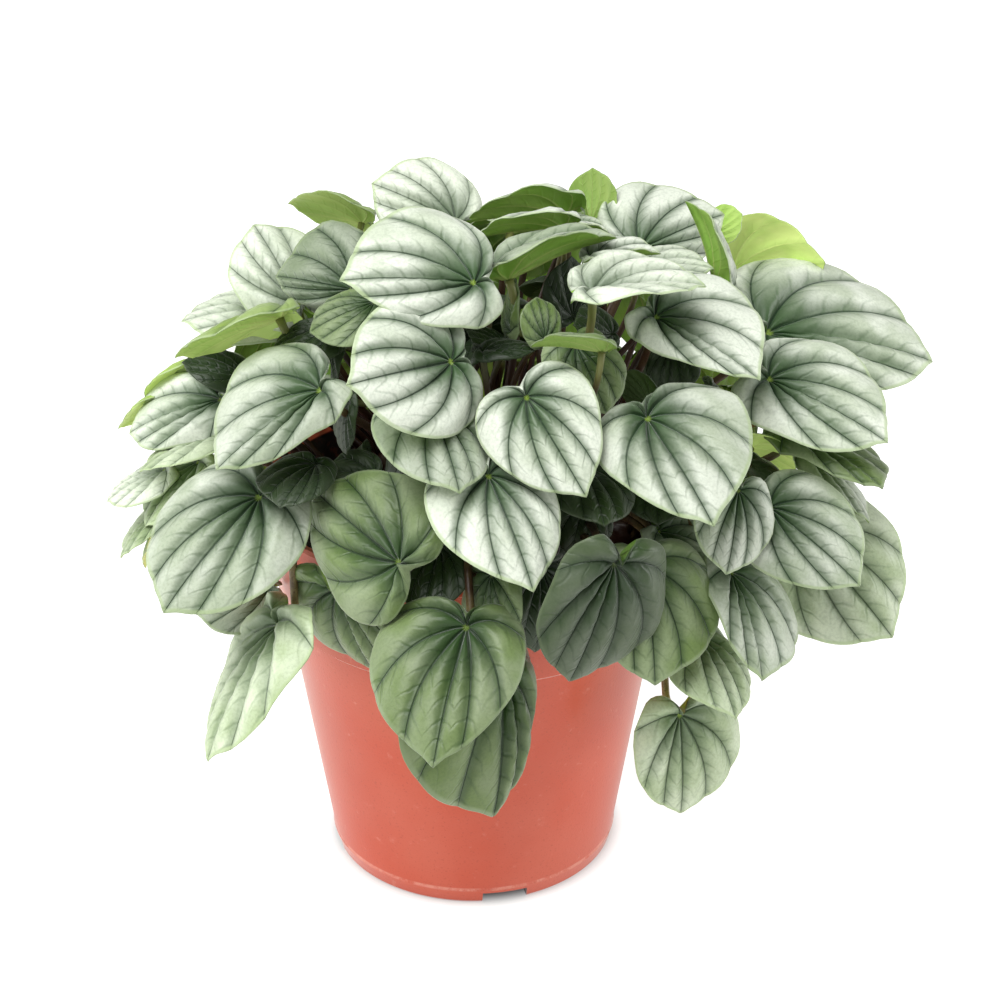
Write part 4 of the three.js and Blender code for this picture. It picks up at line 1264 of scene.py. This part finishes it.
def leaf_top(settings):
    """Waxy leaf skin: silvery where air lies under it between the veins, dark green along
    them, with a thin green margin, and darkened with painted shade on leaves inside and low on
    the plant. A satin gloss shows the swellings between the veins."""
    material, tree, place = new_material("waxy_leaf_skin")
    carried = attributes(tree)
    line, halo, side_line = vein_marks(tree, place, carried)
    # Cloudy patches of more and less silver, and the fine green specks of the skin's pores
    clouds = {"Vector": place, "Scale": 1 / (13 * MM), "Detail": 2.0}
    clouds = node(tree, "ShaderNodeTexNoise", clouds)
    clouds = node(tree, "ShaderNodeMapRange", (clouds, 0.35, 0.68, -0.2, 0.2), **SMOOTH)
    silver = node(tree, "ShaderNodeMath", (carried["silver"], clouds), operation="ADD", use_clamp=True)
    specks = {"Vector": place, "Scale": 1 / (0.8 * MM), "Roughness": 0.6}
    specks = node(tree, "ShaderNodeTexNoise", specks)
    specks = node(tree, "ShaderNodeMapRange", (specks, 0.38, 0.7, 0.0, 0.16), **SMOOTH)
    skin = opaque(settings.green)
    tints = ((silver, settings.silver), (carried["fresh"], settings.lime), (specks, settings.band))
    for weight, tint in tints:
        skin = node(tree, "ShaderNodeMix", {0: weight, 6: skin, 7: opaque(tint)}, **COLOUR)
    # The veins, weaker on pale leaves
    bold = node(tree, "ShaderNodeMath", (carried["faint"], -0.65, 0.92), operation="MULTIPLY_ADD")
    base = node(tree, "ShaderNodeMapRange", (carried["reach"], 0.06, 0.58, 1.0, 0.0), **SMOOTH)
    for marks, strength, tint in (
        (base, 0.95, settings.band),
        (halo, 0.9, settings.band),
        (side_line, 0.36, settings.band),
        (line, 0.85, settings.vein),
    ):
        weight = node(tree, "ShaderNodeMath", (marks, strength), operation="MULTIPLY")
        weight = node(tree, "ShaderNodeMath", (weight, bold), operation="MULTIPLY")
        skin = node(tree, "ShaderNodeMix", {0: weight, 6: skin, 7: opaque(tint)}, **COLOUR)
    # The margin, the pale spot over the stalk, and painted shade: the skin is mixed towards the
    # deep colour by the leaf's shade, for the shade that falls inside and low on the plant
    margin = node(tree, "ShaderNodeMapRange", (carried["reach"], 0.955, 0.985, 0.0, 0.7), **SMOOTH)
    spot = node(tree, "ShaderNodeMapRange", (carried["reach"], 0.02, 0.045, 0.6, 0.0), **SMOOTH)
    shade = node(tree, "ShaderNodeMath", (carried["shade"], 0.9), operation="MULTIPLY", use_clamp=True)
    for weight, tint in ((margin, settings.edge), (spot, settings.lime), (shade, settings.deep)):
        skin = node(tree, "ShaderNodeMix", {0: weight, 6: skin, 7: opaque(tint)}, **COLOUR)
    # Sunken veins and a fine grain
    dents = node(tree, "ShaderNodeMath", (side_line, -0.5, 0.0), operation="MULTIPLY_ADD")
    dents = node(tree, "ShaderNodeMath", (line, -0.9, dents), operation="MULTIPLY_ADD")
    dents = node(tree, "ShaderNodeMath", (specks, -0.4, dents), operation="MULTIPLY_ADD")
    bump = node(tree, "ShaderNodeBump", {"Height": dents, "Strength": 0.7, "Distance": 0.4 * MM})
    gloss = node(tree, "ShaderNodeMapRange", (clouds, -0.2, 0.2, 0.38, 0.5))
    body = {"Base Color": skin, "Roughness": gloss, "Normal": bump, "IOR": 1.42, "Specular IOR Level": 0.45}
    # The wax pales a blade that is seen at a low angle
    wax = {"Sheen Weight": 0.2, "Sheen Roughness": 0.4}
    shader = node(tree, "ShaderNodeBsdfPrincipled", {**body, **wax})
    node(tree, "ShaderNodeOutputMaterial", {"Surface": shader})
    return material


def leaf_back(settings):
    """The smooth back of a leaf: yellow-green, with painted light where light would come
    through a young leaf: a paler lit colour mixed in and a glow that the back gives off. Its
    veins stand out paler, and leaves inside and low on the plant are darkened with painted shade."""
    material, tree, place = new_material("smooth_leaf_back")
    material.cycles.emission_sampling = "NONE"
    carried = attributes(tree)
    line, halo, side_line = vein_marks(tree, place, carried)
    clouds = {"Vector": place, "Scale": 1 / (11 * MM), "Detail": 2.0}
    clouds = node(tree, "ShaderNodeTexNoise", clouds)
    clouds = node(tree, "ShaderNodeMapRange", (clouds, 0.35, 0.68, 0.13, 0.37), **SMOOTH)
    # Painted light: the colour is mixed towards the lit underside by freshness and cloudy patches, for
    # light through the leaf
    glow = (carried["fresh"], 0.8, clouds)
    glow = node(tree, "ShaderNodeMath", glow, operation="MULTIPLY_ADD", use_clamp=True)
    halo = node(tree, "ShaderNodeMath", (halo, 0.3), operation="MULTIPLY")
    pale = node(tree, "ShaderNodeMath", (line, 0.6), operation="MULTIPLY")
    # Painted shade: the back is mixed towards the deep colour by the leaf's shade
    shade = node(tree, "ShaderNodeMath", (carried["shade"], 0.9), operation="MULTIPLY", use_clamp=True)
    skin = opaque(settings.underside)
    for weight, tint in (
        (glow, settings.glow),
        (halo, settings.underside),
        (pale, settings.rib),
        (shade, settings.deep),
    ):
        skin = node(tree, "ShaderNodeMix", {0: weight, 6: skin, 7: opaque(tint)}, **COLOUR)
    ridges = node(tree, "ShaderNodeMath", (side_line, 0.4), operation="MULTIPLY")
    ridges = node(tree, "ShaderNodeMath", (line, 0.8, ridges), operation="MULTIPLY_ADD")
    bump = node(tree, "ShaderNodeBump", {"Height": ridges, "Strength": 0.6, "Distance": 0.35 * MM})
    gloss = node(tree, "ShaderNodeMapRange", (clouds, 0.13, 0.37, 0.45, 0.55))
    # Painted glow: fresh leaves give off light themselves, for light through the leaf
    through = node(tree, "ShaderNodeMath", (carried["fresh"], 0.44), operation="MULTIPLY")
    light = {"Emission Color": skin, "Emission Strength": through}
    body = {"Base Color": skin, "Roughness": gloss, "Normal": bump, "IOR": 1.42, "Specular IOR Level": 0.35}
    shader = node(tree, "ShaderNodeBsdfPrincipled", {**body, **light})
    node(tree, "ShaderNodeOutputMaterial", {"Surface": shader})
    return material


def stalk_skin(settings):
    """Juicy stalk skin: dark red-brown at the foot, olive at the neck, with fine red flecks,
    darkened with painted shade inside the plant.
    """
    material, tree, place = new_material("juicy_stalk_skin")
    carried = attributes(tree)
    clouds = node(tree, "ShaderNodeTexNoise", {"Vector": place, "Scale": 1 / (6 * MM)})
    clouds = node(tree, "ShaderNodeMapRange", (clouds, 0.3, 0.7, -0.25, 0.25), **SMOOTH)
    climb = node(tree, "ShaderNodeMapRange", (carried["reach"], 0.35, 1.0, 0.0, 1.0), **SMOOTH)
    climb = node(tree, "ShaderNodeMath", (climb, clouds), operation="ADD", use_clamp=True)
    # Inside the plant the paleness is held back: painted shade
    climb = node(tree, "ShaderNodeMath", (climb, carried["fresh"]), operation="MULTIPLY")
    flecks = {"Vector": place, "Scale": 1 / (0.5 * MM), "Detail": 1.0}
    flecks = node(tree, "ShaderNodeTexNoise", flecks)
    worn = node(tree, "ShaderNodeMapRange", (flecks, 0.55, 0.7, 0.0, 0.5), **SMOOTH)
    # Painted shade taken from the stalk's leaf or the crown
    shade = node(tree, "ShaderNodeMath", (carried["shade"], 0.7), operation="MULTIPLY")
    tip = node(tree, "ShaderNodeMapRange", (carried["reach"], 0.78, 0.95, 0.0, 0.85), **SMOOTH)
    skin = opaque(settings.foot)
    for weight, tint in (
        (climb, settings.neck),
        (worn, settings.foot),
        (tip, settings.tip),
        (shade, settings.shaded),
    ):
        skin = node(tree, "ShaderNodeMix", {0: weight, 6: skin, 7: opaque(tint)}, **COLOUR)
    bump = node(tree, "ShaderNodeBump", {"Height": flecks, "Strength": 0.3, "Distance": 0.2 * MM})
    gloss = node(tree, "ShaderNodeMapRange", (clouds, -0.25, 0.25, 0.36, 0.48))
    body = {"Base Color": skin, "Roughness": gloss, "Normal": bump, "IOR": 1.42}
    shader = node(tree, "ShaderNodeBsdfPrincipled", body)
    node(tree, "ShaderNodeOutputMaterial", {"Surface": shader})
    return material


def pot_plastic(settings):
    """Injection-moulded polypropylene: an even satin terracotta colour with the fine flecks
    of recycled plastic, faint flow marks, paler rubbed places, a pale parting line that is partly
    a painted highlight, and painted shade on the inner face."""
    material, tree, place = new_material("moulded_polypropylene")
    flow = {"Vector": place, "Scale": 1 / (38 * MM), "Detail": 3.0}
    flow = node(tree, "ShaderNodeTexNoise", flow)
    flow = node(tree, "ShaderNodeMapRange", (flow, 0.3, 0.7, 0.0, 0.1), **SMOOTH)
    grain = {"Vector": place, "Scale": 1 / (0.6 * MM), "Detail": 1.0}
    grain = node(tree, "ShaderNodeTexNoise", grain)
    flecks = node(tree, "ShaderNodeMapRange", (grain, 0.6, 0.74, 0.0, 0.35), **SMOOTH)
    rubs = {"Vector": place, "Scale": 1 / (4 * MM), "Detail": 4.0, "Roughness": 0.7}
    rubs = node(tree, "ShaderNodeTexNoise", rubs)
    worn = node(tree, "ShaderNodeMapRange", (rubs, 0.6, 0.8, 0.0, 0.22), **SMOOTH)
    height = node(tree, "ShaderNodeSeparateXYZ", (place,)).outputs["Z"]
    # The mould's parting line round the foot is pale here and there: rubbed wear, and a painted
    # highlight where its ledge would catch the light
    off_line = node(tree, "ShaderNodeMath", (height, POT_FORM["foot_height"] * MM), operation="SUBTRACT")
    off_line = node(tree, "ShaderNodeMath", (off_line,), operation="ABSOLUTE")
    parting_wear_and_highlight = node(tree, "ShaderNodeMapRange", (off_line, 0.2 * MM, 0.7 * MM, 1.0, 0.0), **SMOOTH)
    chafed = node(tree, "ShaderNodeMapRange", (rubs, 0.35, 0.6, 0.05, 0.4), **SMOOTH)
    parting_wear_and_highlight = node(tree, "ShaderNodeMath", (parting_wear_and_highlight, chafed), operation="MULTIPLY")
    # Painted shade on the wall's inner face, under the foliage: the places closer to the axis
    # than the wall's middle, below the rim's top, darkened patchily
    off_axis = node(tree, "ShaderNodeVectorMath", (place, tuple(AXIS * MM)), operation="SUBTRACT")
    flat = node(tree, "ShaderNodeVectorMath", (off_axis, (1.0, 1.0, 0.0)), operation="MULTIPLY")
    out = node(tree, "ShaderNodeVectorMath", (flat,), operation="LENGTH").outputs["Value"]
    slope = (settings.mouth_radius - settings.base_radius) / settings.height
    middle = settings.base_radius - settings.wall / 2
    wall = node(tree, "ShaderNodeMath", (height, slope, middle), operation="MULTIPLY_ADD")
    inward = node(tree, "ShaderNodeMath", (wall, out), operation="SUBTRACT")
    inner = node(tree, "ShaderNodeMapRange", (inward, 0.0, 0.2 * MM, 0.0, 1.0), **SMOOTH)
    line = settings.height - 0.4 * MM
    under = node(tree, "ShaderNodeMapRange", (height, line, line - 1 * MM, 0.0, 1.0), **SMOOTH)
    patchy = node(tree, "ShaderNodeMapRange", (rubs, 0.3, 0.55, 0.8, 1.0), **SMOOTH)
    inner_shade = node(tree, "ShaderNodeMath", (inner, under), operation="MULTIPLY")
    inner_shade = node(tree, "ShaderNodeMath", (inner_shade, patchy), operation="MULTIPLY")
    skin = opaque(settings.plastic)
    for weight, tint in (
        (flow, settings.scuff),
        (flecks, [FLECK_SHARE * c for c in settings.plastic]),
        (worn, settings.scuff),
        (parting_wear_and_highlight, settings.scuff),
        (inner_shade, settings.inner_shade),
    ):
        skin = node(tree, "ShaderNodeMix", {0: weight, 6: skin, 7: opaque(tint)}, **COLOUR)
    bump = node(tree, "ShaderNodeBump", {"Height": grain, "Strength": 0.2, "Distance": 0.2 * MM})
    gloss = node(tree, "ShaderNodeMapRange", (flow, 0.0, 0.1, 0.36, 0.48))
    # A film of dust pales the plastic where it is seen at a low angle
    dust = {"Sheen Weight": 0.8, "Sheen Roughness": 0.3}
    body = {"Base Color": skin, "Roughness": gloss, "Normal": bump, "IOR": 1.49}
    shader = node(tree, "ShaderNodeBsdfPrincipled", {**body, **dust})
    node(tree, "ShaderNodeOutputMaterial", {"Surface": shader})
    return material


def damp_peat(settings):
    """Damp potting peat: almost black-brown crumbs with a few dry pale fibres; rough."""
    material, tree, place = new_material("damp_peat")
    threads = {"Vector": place, "Scale": 1 / (1.6 * MM), "Detail": 4.0, "Roughness": 0.7}
    threads = node(tree, "ShaderNodeTexNoise", threads)
    fibres = node(tree, "ShaderNodeMapRange", (threads, 0.55, 0.7, 0.0, 0.8), **SMOOTH)
    tints = {0: fibres, 6: opaque(settings.peat), 7: opaque(settings.fibre)}
    skin = node(tree, "ShaderNodeMix", tints, **COLOUR)
    bump = node(tree, "ShaderNodeBump", {"Height": threads, "Strength": 0.9, "Distance": 0.8 * MM})
    body = {"Base Color": skin, "Roughness": 0.9, "Normal": bump}
    shader = node(tree, "ShaderNodeBsdfPrincipled", body)
    node(tree, "ShaderNodeOutputMaterial", {"Surface": shader})
    return material


def studio_floor(settings):
    """The opal plastic of a light table, lit from behind except under the pot, where the
    unlit ring is a painted contact shadow.
    """
    material, tree, place = new_material("opal_light_table")
    grain = node(tree, "ShaderNodeTexNoise", {"Vector": place, "Scale": 1 / (3 * MM), "Detail": 3.0})
    grain = node(tree, "ShaderNodeMapRange", (grain, 0.3, 0.7, 0.0, 0.02), **SMOOTH)
    tints = {0: grain, 6: opaque(settings.floor), 7: opaque(settings.grain)}
    opal = node(tree, "ShaderNodeMix", tints, **COLOUR)
    off = node(tree, "ShaderNodeVectorMath", (place, tuple(AXIS * MM)), operation="DISTANCE")
    off = off.outputs["Value"]
    dark_to, lit_from = [distance * MM for distance in FLOOR_SHADOW]
    lit = node(tree, "ShaderNodeMapRange", (off, dark_to, lit_from, 0.0, settings.floor_glow), **SMOOTH)
    light = {"Emission Color": WHITE, "Emission Strength": lit}
    shader = node(tree, "ShaderNodeBsdfPrincipled", {"Base Color": opal, "Roughness": 0.9, **light})
    node(tree, "ShaderNodeOutputMaterial", {"Surface": shader})
    return material


# Operators


def settled(piece, node_name):
    """Rides a piece on the part's body, in the place of its CAD node."""
    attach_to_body(piece, "root")
    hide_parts(node_name)


def wall_radius(settings, z):
    """The wall's outer radius in millimetres at a height: it widens evenly to the mouth."""
    base = settings.base_radius / MM
    return base + (settings.mouth_radius / MM - base) * z / (settings.height / MM)


class PEPEROMIA_OT_pot(bpy.types.Operator):
    """Build the moulded pot with its rim, collar, foot ring, drain notches and holes"""

    bl_idname = "peperomia.pot"
    bl_label = "Pot"

    def execute(self, context):
        settings = context.scene.peperomia_pot
        height = settings.height / MM
        base = settings.base_radius / MM
        rim = settings.rim_radius / MM
        rim_bottom = height - settings.rim_height / MM
        wall = settings.wall / MM
        form = POT_FORM
        edge = form["edge"]
        foot = form["foot_height"]
        collar_bottom = settings.collar_bottom / MM
        collar_top = collar_bottom + form["step"]

        def outside(z):
            return wall_radius(settings, z)

        profile = [
            [form["centre"], form["floor_under"]],
            [base - form["foot_width"] - edge, form["floor_under"]],
            [base - form["foot_width"], 0.0],
            [base - edge, 0.0],
            [base, edge],
            [outside(foot) + form["bead"], foot - form["ledge"]],
            [outside(foot), foot + form["ledge"]],
            [outside(collar_bottom), collar_bottom],
            [outside(collar_top) + form["proud"], collar_top],
            [outside(rim_bottom) + form["proud"], rim_bottom],
            [rim, rim_bottom + edge],
            [rim, height - edge],
            [rim - edge, height],
            [outside(height) - wall + edge, height],
            [outside(height) - wall, height - edge],
            [outside(form["floor_top"]) - wall, form["floor_top"]],
            [form["centre"], form["floor_top"]],
        ]
        gathered = Gathered()
        gathered.add(*closed_tube(turned_rings(profile, form["sides"])), 0, 0)
        pot = gathered.piece("pot_moulded", [pot_plastic(settings)])
        self.cut(context, pot, settings)
        bevel = pot.modifiers.new("Rounded edges", "BEVEL")
        bevel.width = form["rounding"] * MM
        bevel.segments = form["rounding_steps"]
        bevel.limit_method = "ANGLE"
        bevel.angle_limit = math.radians(form["sharp"])
        bevel.harden_normals = True
        settled(pot, "pot")
        return {"FINISHED"}

    def cut(self, context, pot, settings):
        """Cuts the drain holes and the notches out of the pot."""
        form = POT_FORM
        cutters = Gathered()
        radius = settings.hole_radius / MM
        bore = turned_rings([[radius, form["cut_from"]], [radius, form["cut_to"]]], form["hole_sides"])
        ring = form["hole_ring"]
        for i in range(settings.holes):
            angle = 2 * math.pi * i / settings.holes
            cutters.add(*closed_tube(bore + [ring * math.cos(angle), ring * math.sin(angle), 0]), 0, 0)
        half = settings.notch_width / MM / 2
        deep = form["notch_depth"]
        corners = np.array([[-deep, half], [deep, half], [deep, -half], [-deep, -half]])
        flat = corners + [settings.base_radius / MM, 0]
        top = settings.notch_height / MM
        for i in range(settings.notches):
            angle = math.radians(form["notch_turn"]) + 2 * math.pi * i / settings.notches
            x = flat[:, 0] * math.cos(angle) - flat[:, 1] * math.sin(angle)
            y = flat[:, 0] * math.sin(angle) + flat[:, 1] * math.cos(angle)
            rings = np.stack([np.column_stack([x, y, np.full(4, z)]) for z in (top, -top)])
            cutters.add(*closed_tube(rings), 0, 0)
        cutter = cutters.piece("cutter", [])
        boolean = pot.modifiers.new("Drain cuts", "BOOLEAN")
        boolean.operation = "DIFFERENCE"
        boolean.solver = "EXACT"
        boolean.object = cutter
        graph = context.evaluated_depsgraph_get()
        cut_mesh = bpy.data.meshes.new_from_object(pot.evaluated_get(graph))
        if len(cut_mesh.polygons) < LEAST_POT_FACES:
            raise RuntimeError("the pot lost its wall when the drain holes were cut")
        pot.modifiers.clear()
        pot.data = cut_mesh
        pot.data.set_sharp_from_angle(angle=math.radians(form["sharp"]))
        bpy.data.objects.remove(cutter)


def lump_noise(x, y, size):
    """Smooth lumps, mostly between 0 and 1: a sum of seeded waves in turned directions, each
    octave finer and weaker than the last."""
    rng = np.random.default_rng(LUMPS["seed"])
    total = np.zeros_like(x)
    weight = 0
    for octave in range(LUMPS["octaves"]):
        share = LUMPS["weaker"] ** octave
        step = 2 * np.pi / (size / LUMPS["finer"] ** octave)
        for _ in range(LUMPS["waves"]):
            angle, phase = rng.uniform(0, 2 * np.pi, 2)
            total += share * np.sin(step * (x * np.cos(angle) + y * np.sin(angle)) + phase)
            weight += share
    return 0.5 + 0.5 * total / weight ** LUMPS["evening"]


class PEPEROMIA_OT_soil(bpy.types.Operator):
    """Build the peat that fills the pot, with a lumpy surface"""

    bl_idname = "peperomia.soil"
    bl_label = "Soil"

    def execute(self, context):
        settings = context.scene.peperomia_soil
        pot = context.scene.peperomia_pot
        form = SOIL_FORM
        middle = form["middle"]
        bottom = form["bottom"]
        count = form["rings"]

        def inside(z):
            return wall_radius(pot, z) - pot.wall / MM - form["gap"]

        edge = inside(SOIL_TOP)
        out = np.linspace(middle, edge - middle, count)
        profile = [[r, SOIL_TOP + form["heap"] * (1 - r / edge) ** 0.5] for r in out]
        profile += [[edge, SOIL_TOP - form["shoulder"]], [inside(bottom), bottom], [middle, bottom]]
        rings = turned_rings(profile, form["sides"])[:, ::-1]
        x = rings[:count, :, 0]
        y = rings[:count, :, 1]
        lumps = lump_noise(x, y, settings.lump_size / MM) - form["lump_level"]
        fade = np.clip((edge - np.hypot(x, y)) / form["lump_fade"], 0, 1)
        rings[:count, :, 2] += settings.lumps / MM * lumps * fade
        gathered = Gathered()
        gathered.add(*closed_tube(rings), 0, 0)
        soil = gathered.piece("soil_peat", [damp_peat(settings)])
        settled(soil, "soil")
        return {"FINISHED"}


class PEPEROMIA_OT_plantlets(bpy.types.Operator):
    """Build every plantlet: its crown, stalks and leaves"""

    bl_idname = "peperomia.plantlets"
    bl_label = "Plantlets"

    def execute(self, context):
        leaf_settings = context.scene.peperomia_leaf
        stalk_settings = context.scene.peperomia_stalk
        materials = [leaf_top(leaf_settings), leaf_back(leaf_settings), stalk_skin(stalk_settings)]
        draw = draws(LOOK_SPREAD["seed"])
        for name, grown in all_leaves(leaf_settings).items():
            crown = CROWNS[name]
            gathered = Gathered()
            add_crown(gathered, crown)
            for leaf, place in grown:
                leaf["difference"] = next(draw)
                add_stalk(gathered, leaf, crown, place, stalk_settings, leaf_settings)
                add_blade(gathered, leaf, leaf_settings)
            piece = gathered.piece("foliage_" + name, materials)
            settled(piece, "plantlet_" + name)
        return {"FINISHED"}


class PEPEROMIA_OT_stage(bpy.types.Operator):
    """Build the pale floor, the soft lights and the camera"""

    bl_idname = "peperomia.stage"
    bl_label = "Stage"

    def execute(self, context):
        settings = context.scene.peperomia_stage
        scene = context.scene
        half = FLOOR_HALF
        floor_mesh = bpy.data.meshes.new("floor")
        corners = [(-half, -half, 0), (half, -half, 0), (half, half, 0), (-half, half, 0)]
        floor_mesh.from_pydata(corners, [], [(0, 1, 2, 3)])
        floor_mesh.materials.append(studio_floor(settings))
        floor = bpy.data.objects.new("floor", floor_mesh)
        scene.collection.objects.link(floor)
        world = bpy.data.worlds.new("studio_room")
        world.use_nodes = True
        background = world.node_tree.nodes["Background"]
        background.inputs["Color"].default_value = WHITE
        background.inputs["Strength"].default_value = settings.room
        scene.world = world
        middle = Vector(AXIS * MM) + Vector((0, 0, PLANT_MIDDLE))
        for name, place, size, power in LIGHTS:
            light = bpy.data.lights.new(name, "AREA")
            light.shape = "SQUARE"
            light.size = size
            light.energy = getattr(settings, power)
            lamp = bpy.data.objects.new(name, light)
            lamp.location = middle + Vector(place)
            lamp.rotation_euler = (-Vector(place)).to_track_quat("-Z", "Y").to_euler()
            scene.collection.objects.link(lamp)
        camera_data = bpy.data.cameras.new("camera")
        camera_data.sensor_width = SENSOR
        camera_data.lens = settings.lens
        camera_data.clip_end = FAR_CLIP
        camera = bpy.data.objects.new("camera", camera_data)
        camera.location = Vector((EYE + AXIS) * MM)
        camera.rotation_euler = (math.pi / 2 - TILT, 0, 0)
        scene.collection.objects.link(camera)
        scene.camera = camera
        scene.view_settings.view_transform = "Standard"
        scene.view_settings.look = "None"
        return {"FINISHED"}


class PEPEROMIA_PT_panel(bpy.types.Panel):
    """Lists the plant's parts and their settings"""

    bl_label = "Potted peperomia"
    bl_idname = "PEPEROMIA_PT_panel"
    bl_space_type = "VIEW_3D"
    bl_region_type = "UI"
    bl_category = "Peperomia"

    def draw(self, context):
        for key, _, operator in GROUPS:
            box = self.layout.box()
            if operator:
                box.operator(operator.bl_idname)
            settings = getattr(context.scene, key)
            for name in settings.__annotations__:
                box.prop(settings, name)


# Each group of settings, and the operator that builds its piece; the plantlets' operator
# makes the stalks too
GROUPS = (
    ("peperomia_pot", PeperomiaPotSettings, PEPEROMIA_OT_pot),
    ("peperomia_soil", PeperomiaSoilSettings, PEPEROMIA_OT_soil),
    ("peperomia_leaf", PeperomiaLeafSettings, PEPEROMIA_OT_plantlets),
    ("peperomia_stalk", PeperomiaStalkSettings, None),
    ("peperomia_stage", PeperomiaStageSettings, PEPEROMIA_OT_stage),
)


def register():
    """Registers the classes and hangs the settings on the scene."""
    for key, kind, operator in GROUPS:
        bpy.utils.register_class(kind)
        setattr(bpy.types.Scene, key, PointerProperty(type=kind))
        if operator:
            bpy.utils.register_class(operator)
    bpy.utils.register_class(PEPEROMIA_PT_panel)


def unregister():
    """Takes the settings and the classes away again."""
    bpy.utils.unregister_class(PEPEROMIA_PT_panel)
    for key, kind, operator in reversed(GROUPS):
        if operator:
            bpy.utils.unregister_class(operator)
        delattr(bpy.types.Scene, key)
        bpy.utils.unregister_class(kind)


def main():
    """Builds every piece in order."""
    register()
    bpy.ops.peperomia.pot()
    bpy.ops.peperomia.soil()
    bpy.ops.peperomia.plantlets()
    bpy.ops.peperomia.stage()


if __name__ == "__main__":
    main()
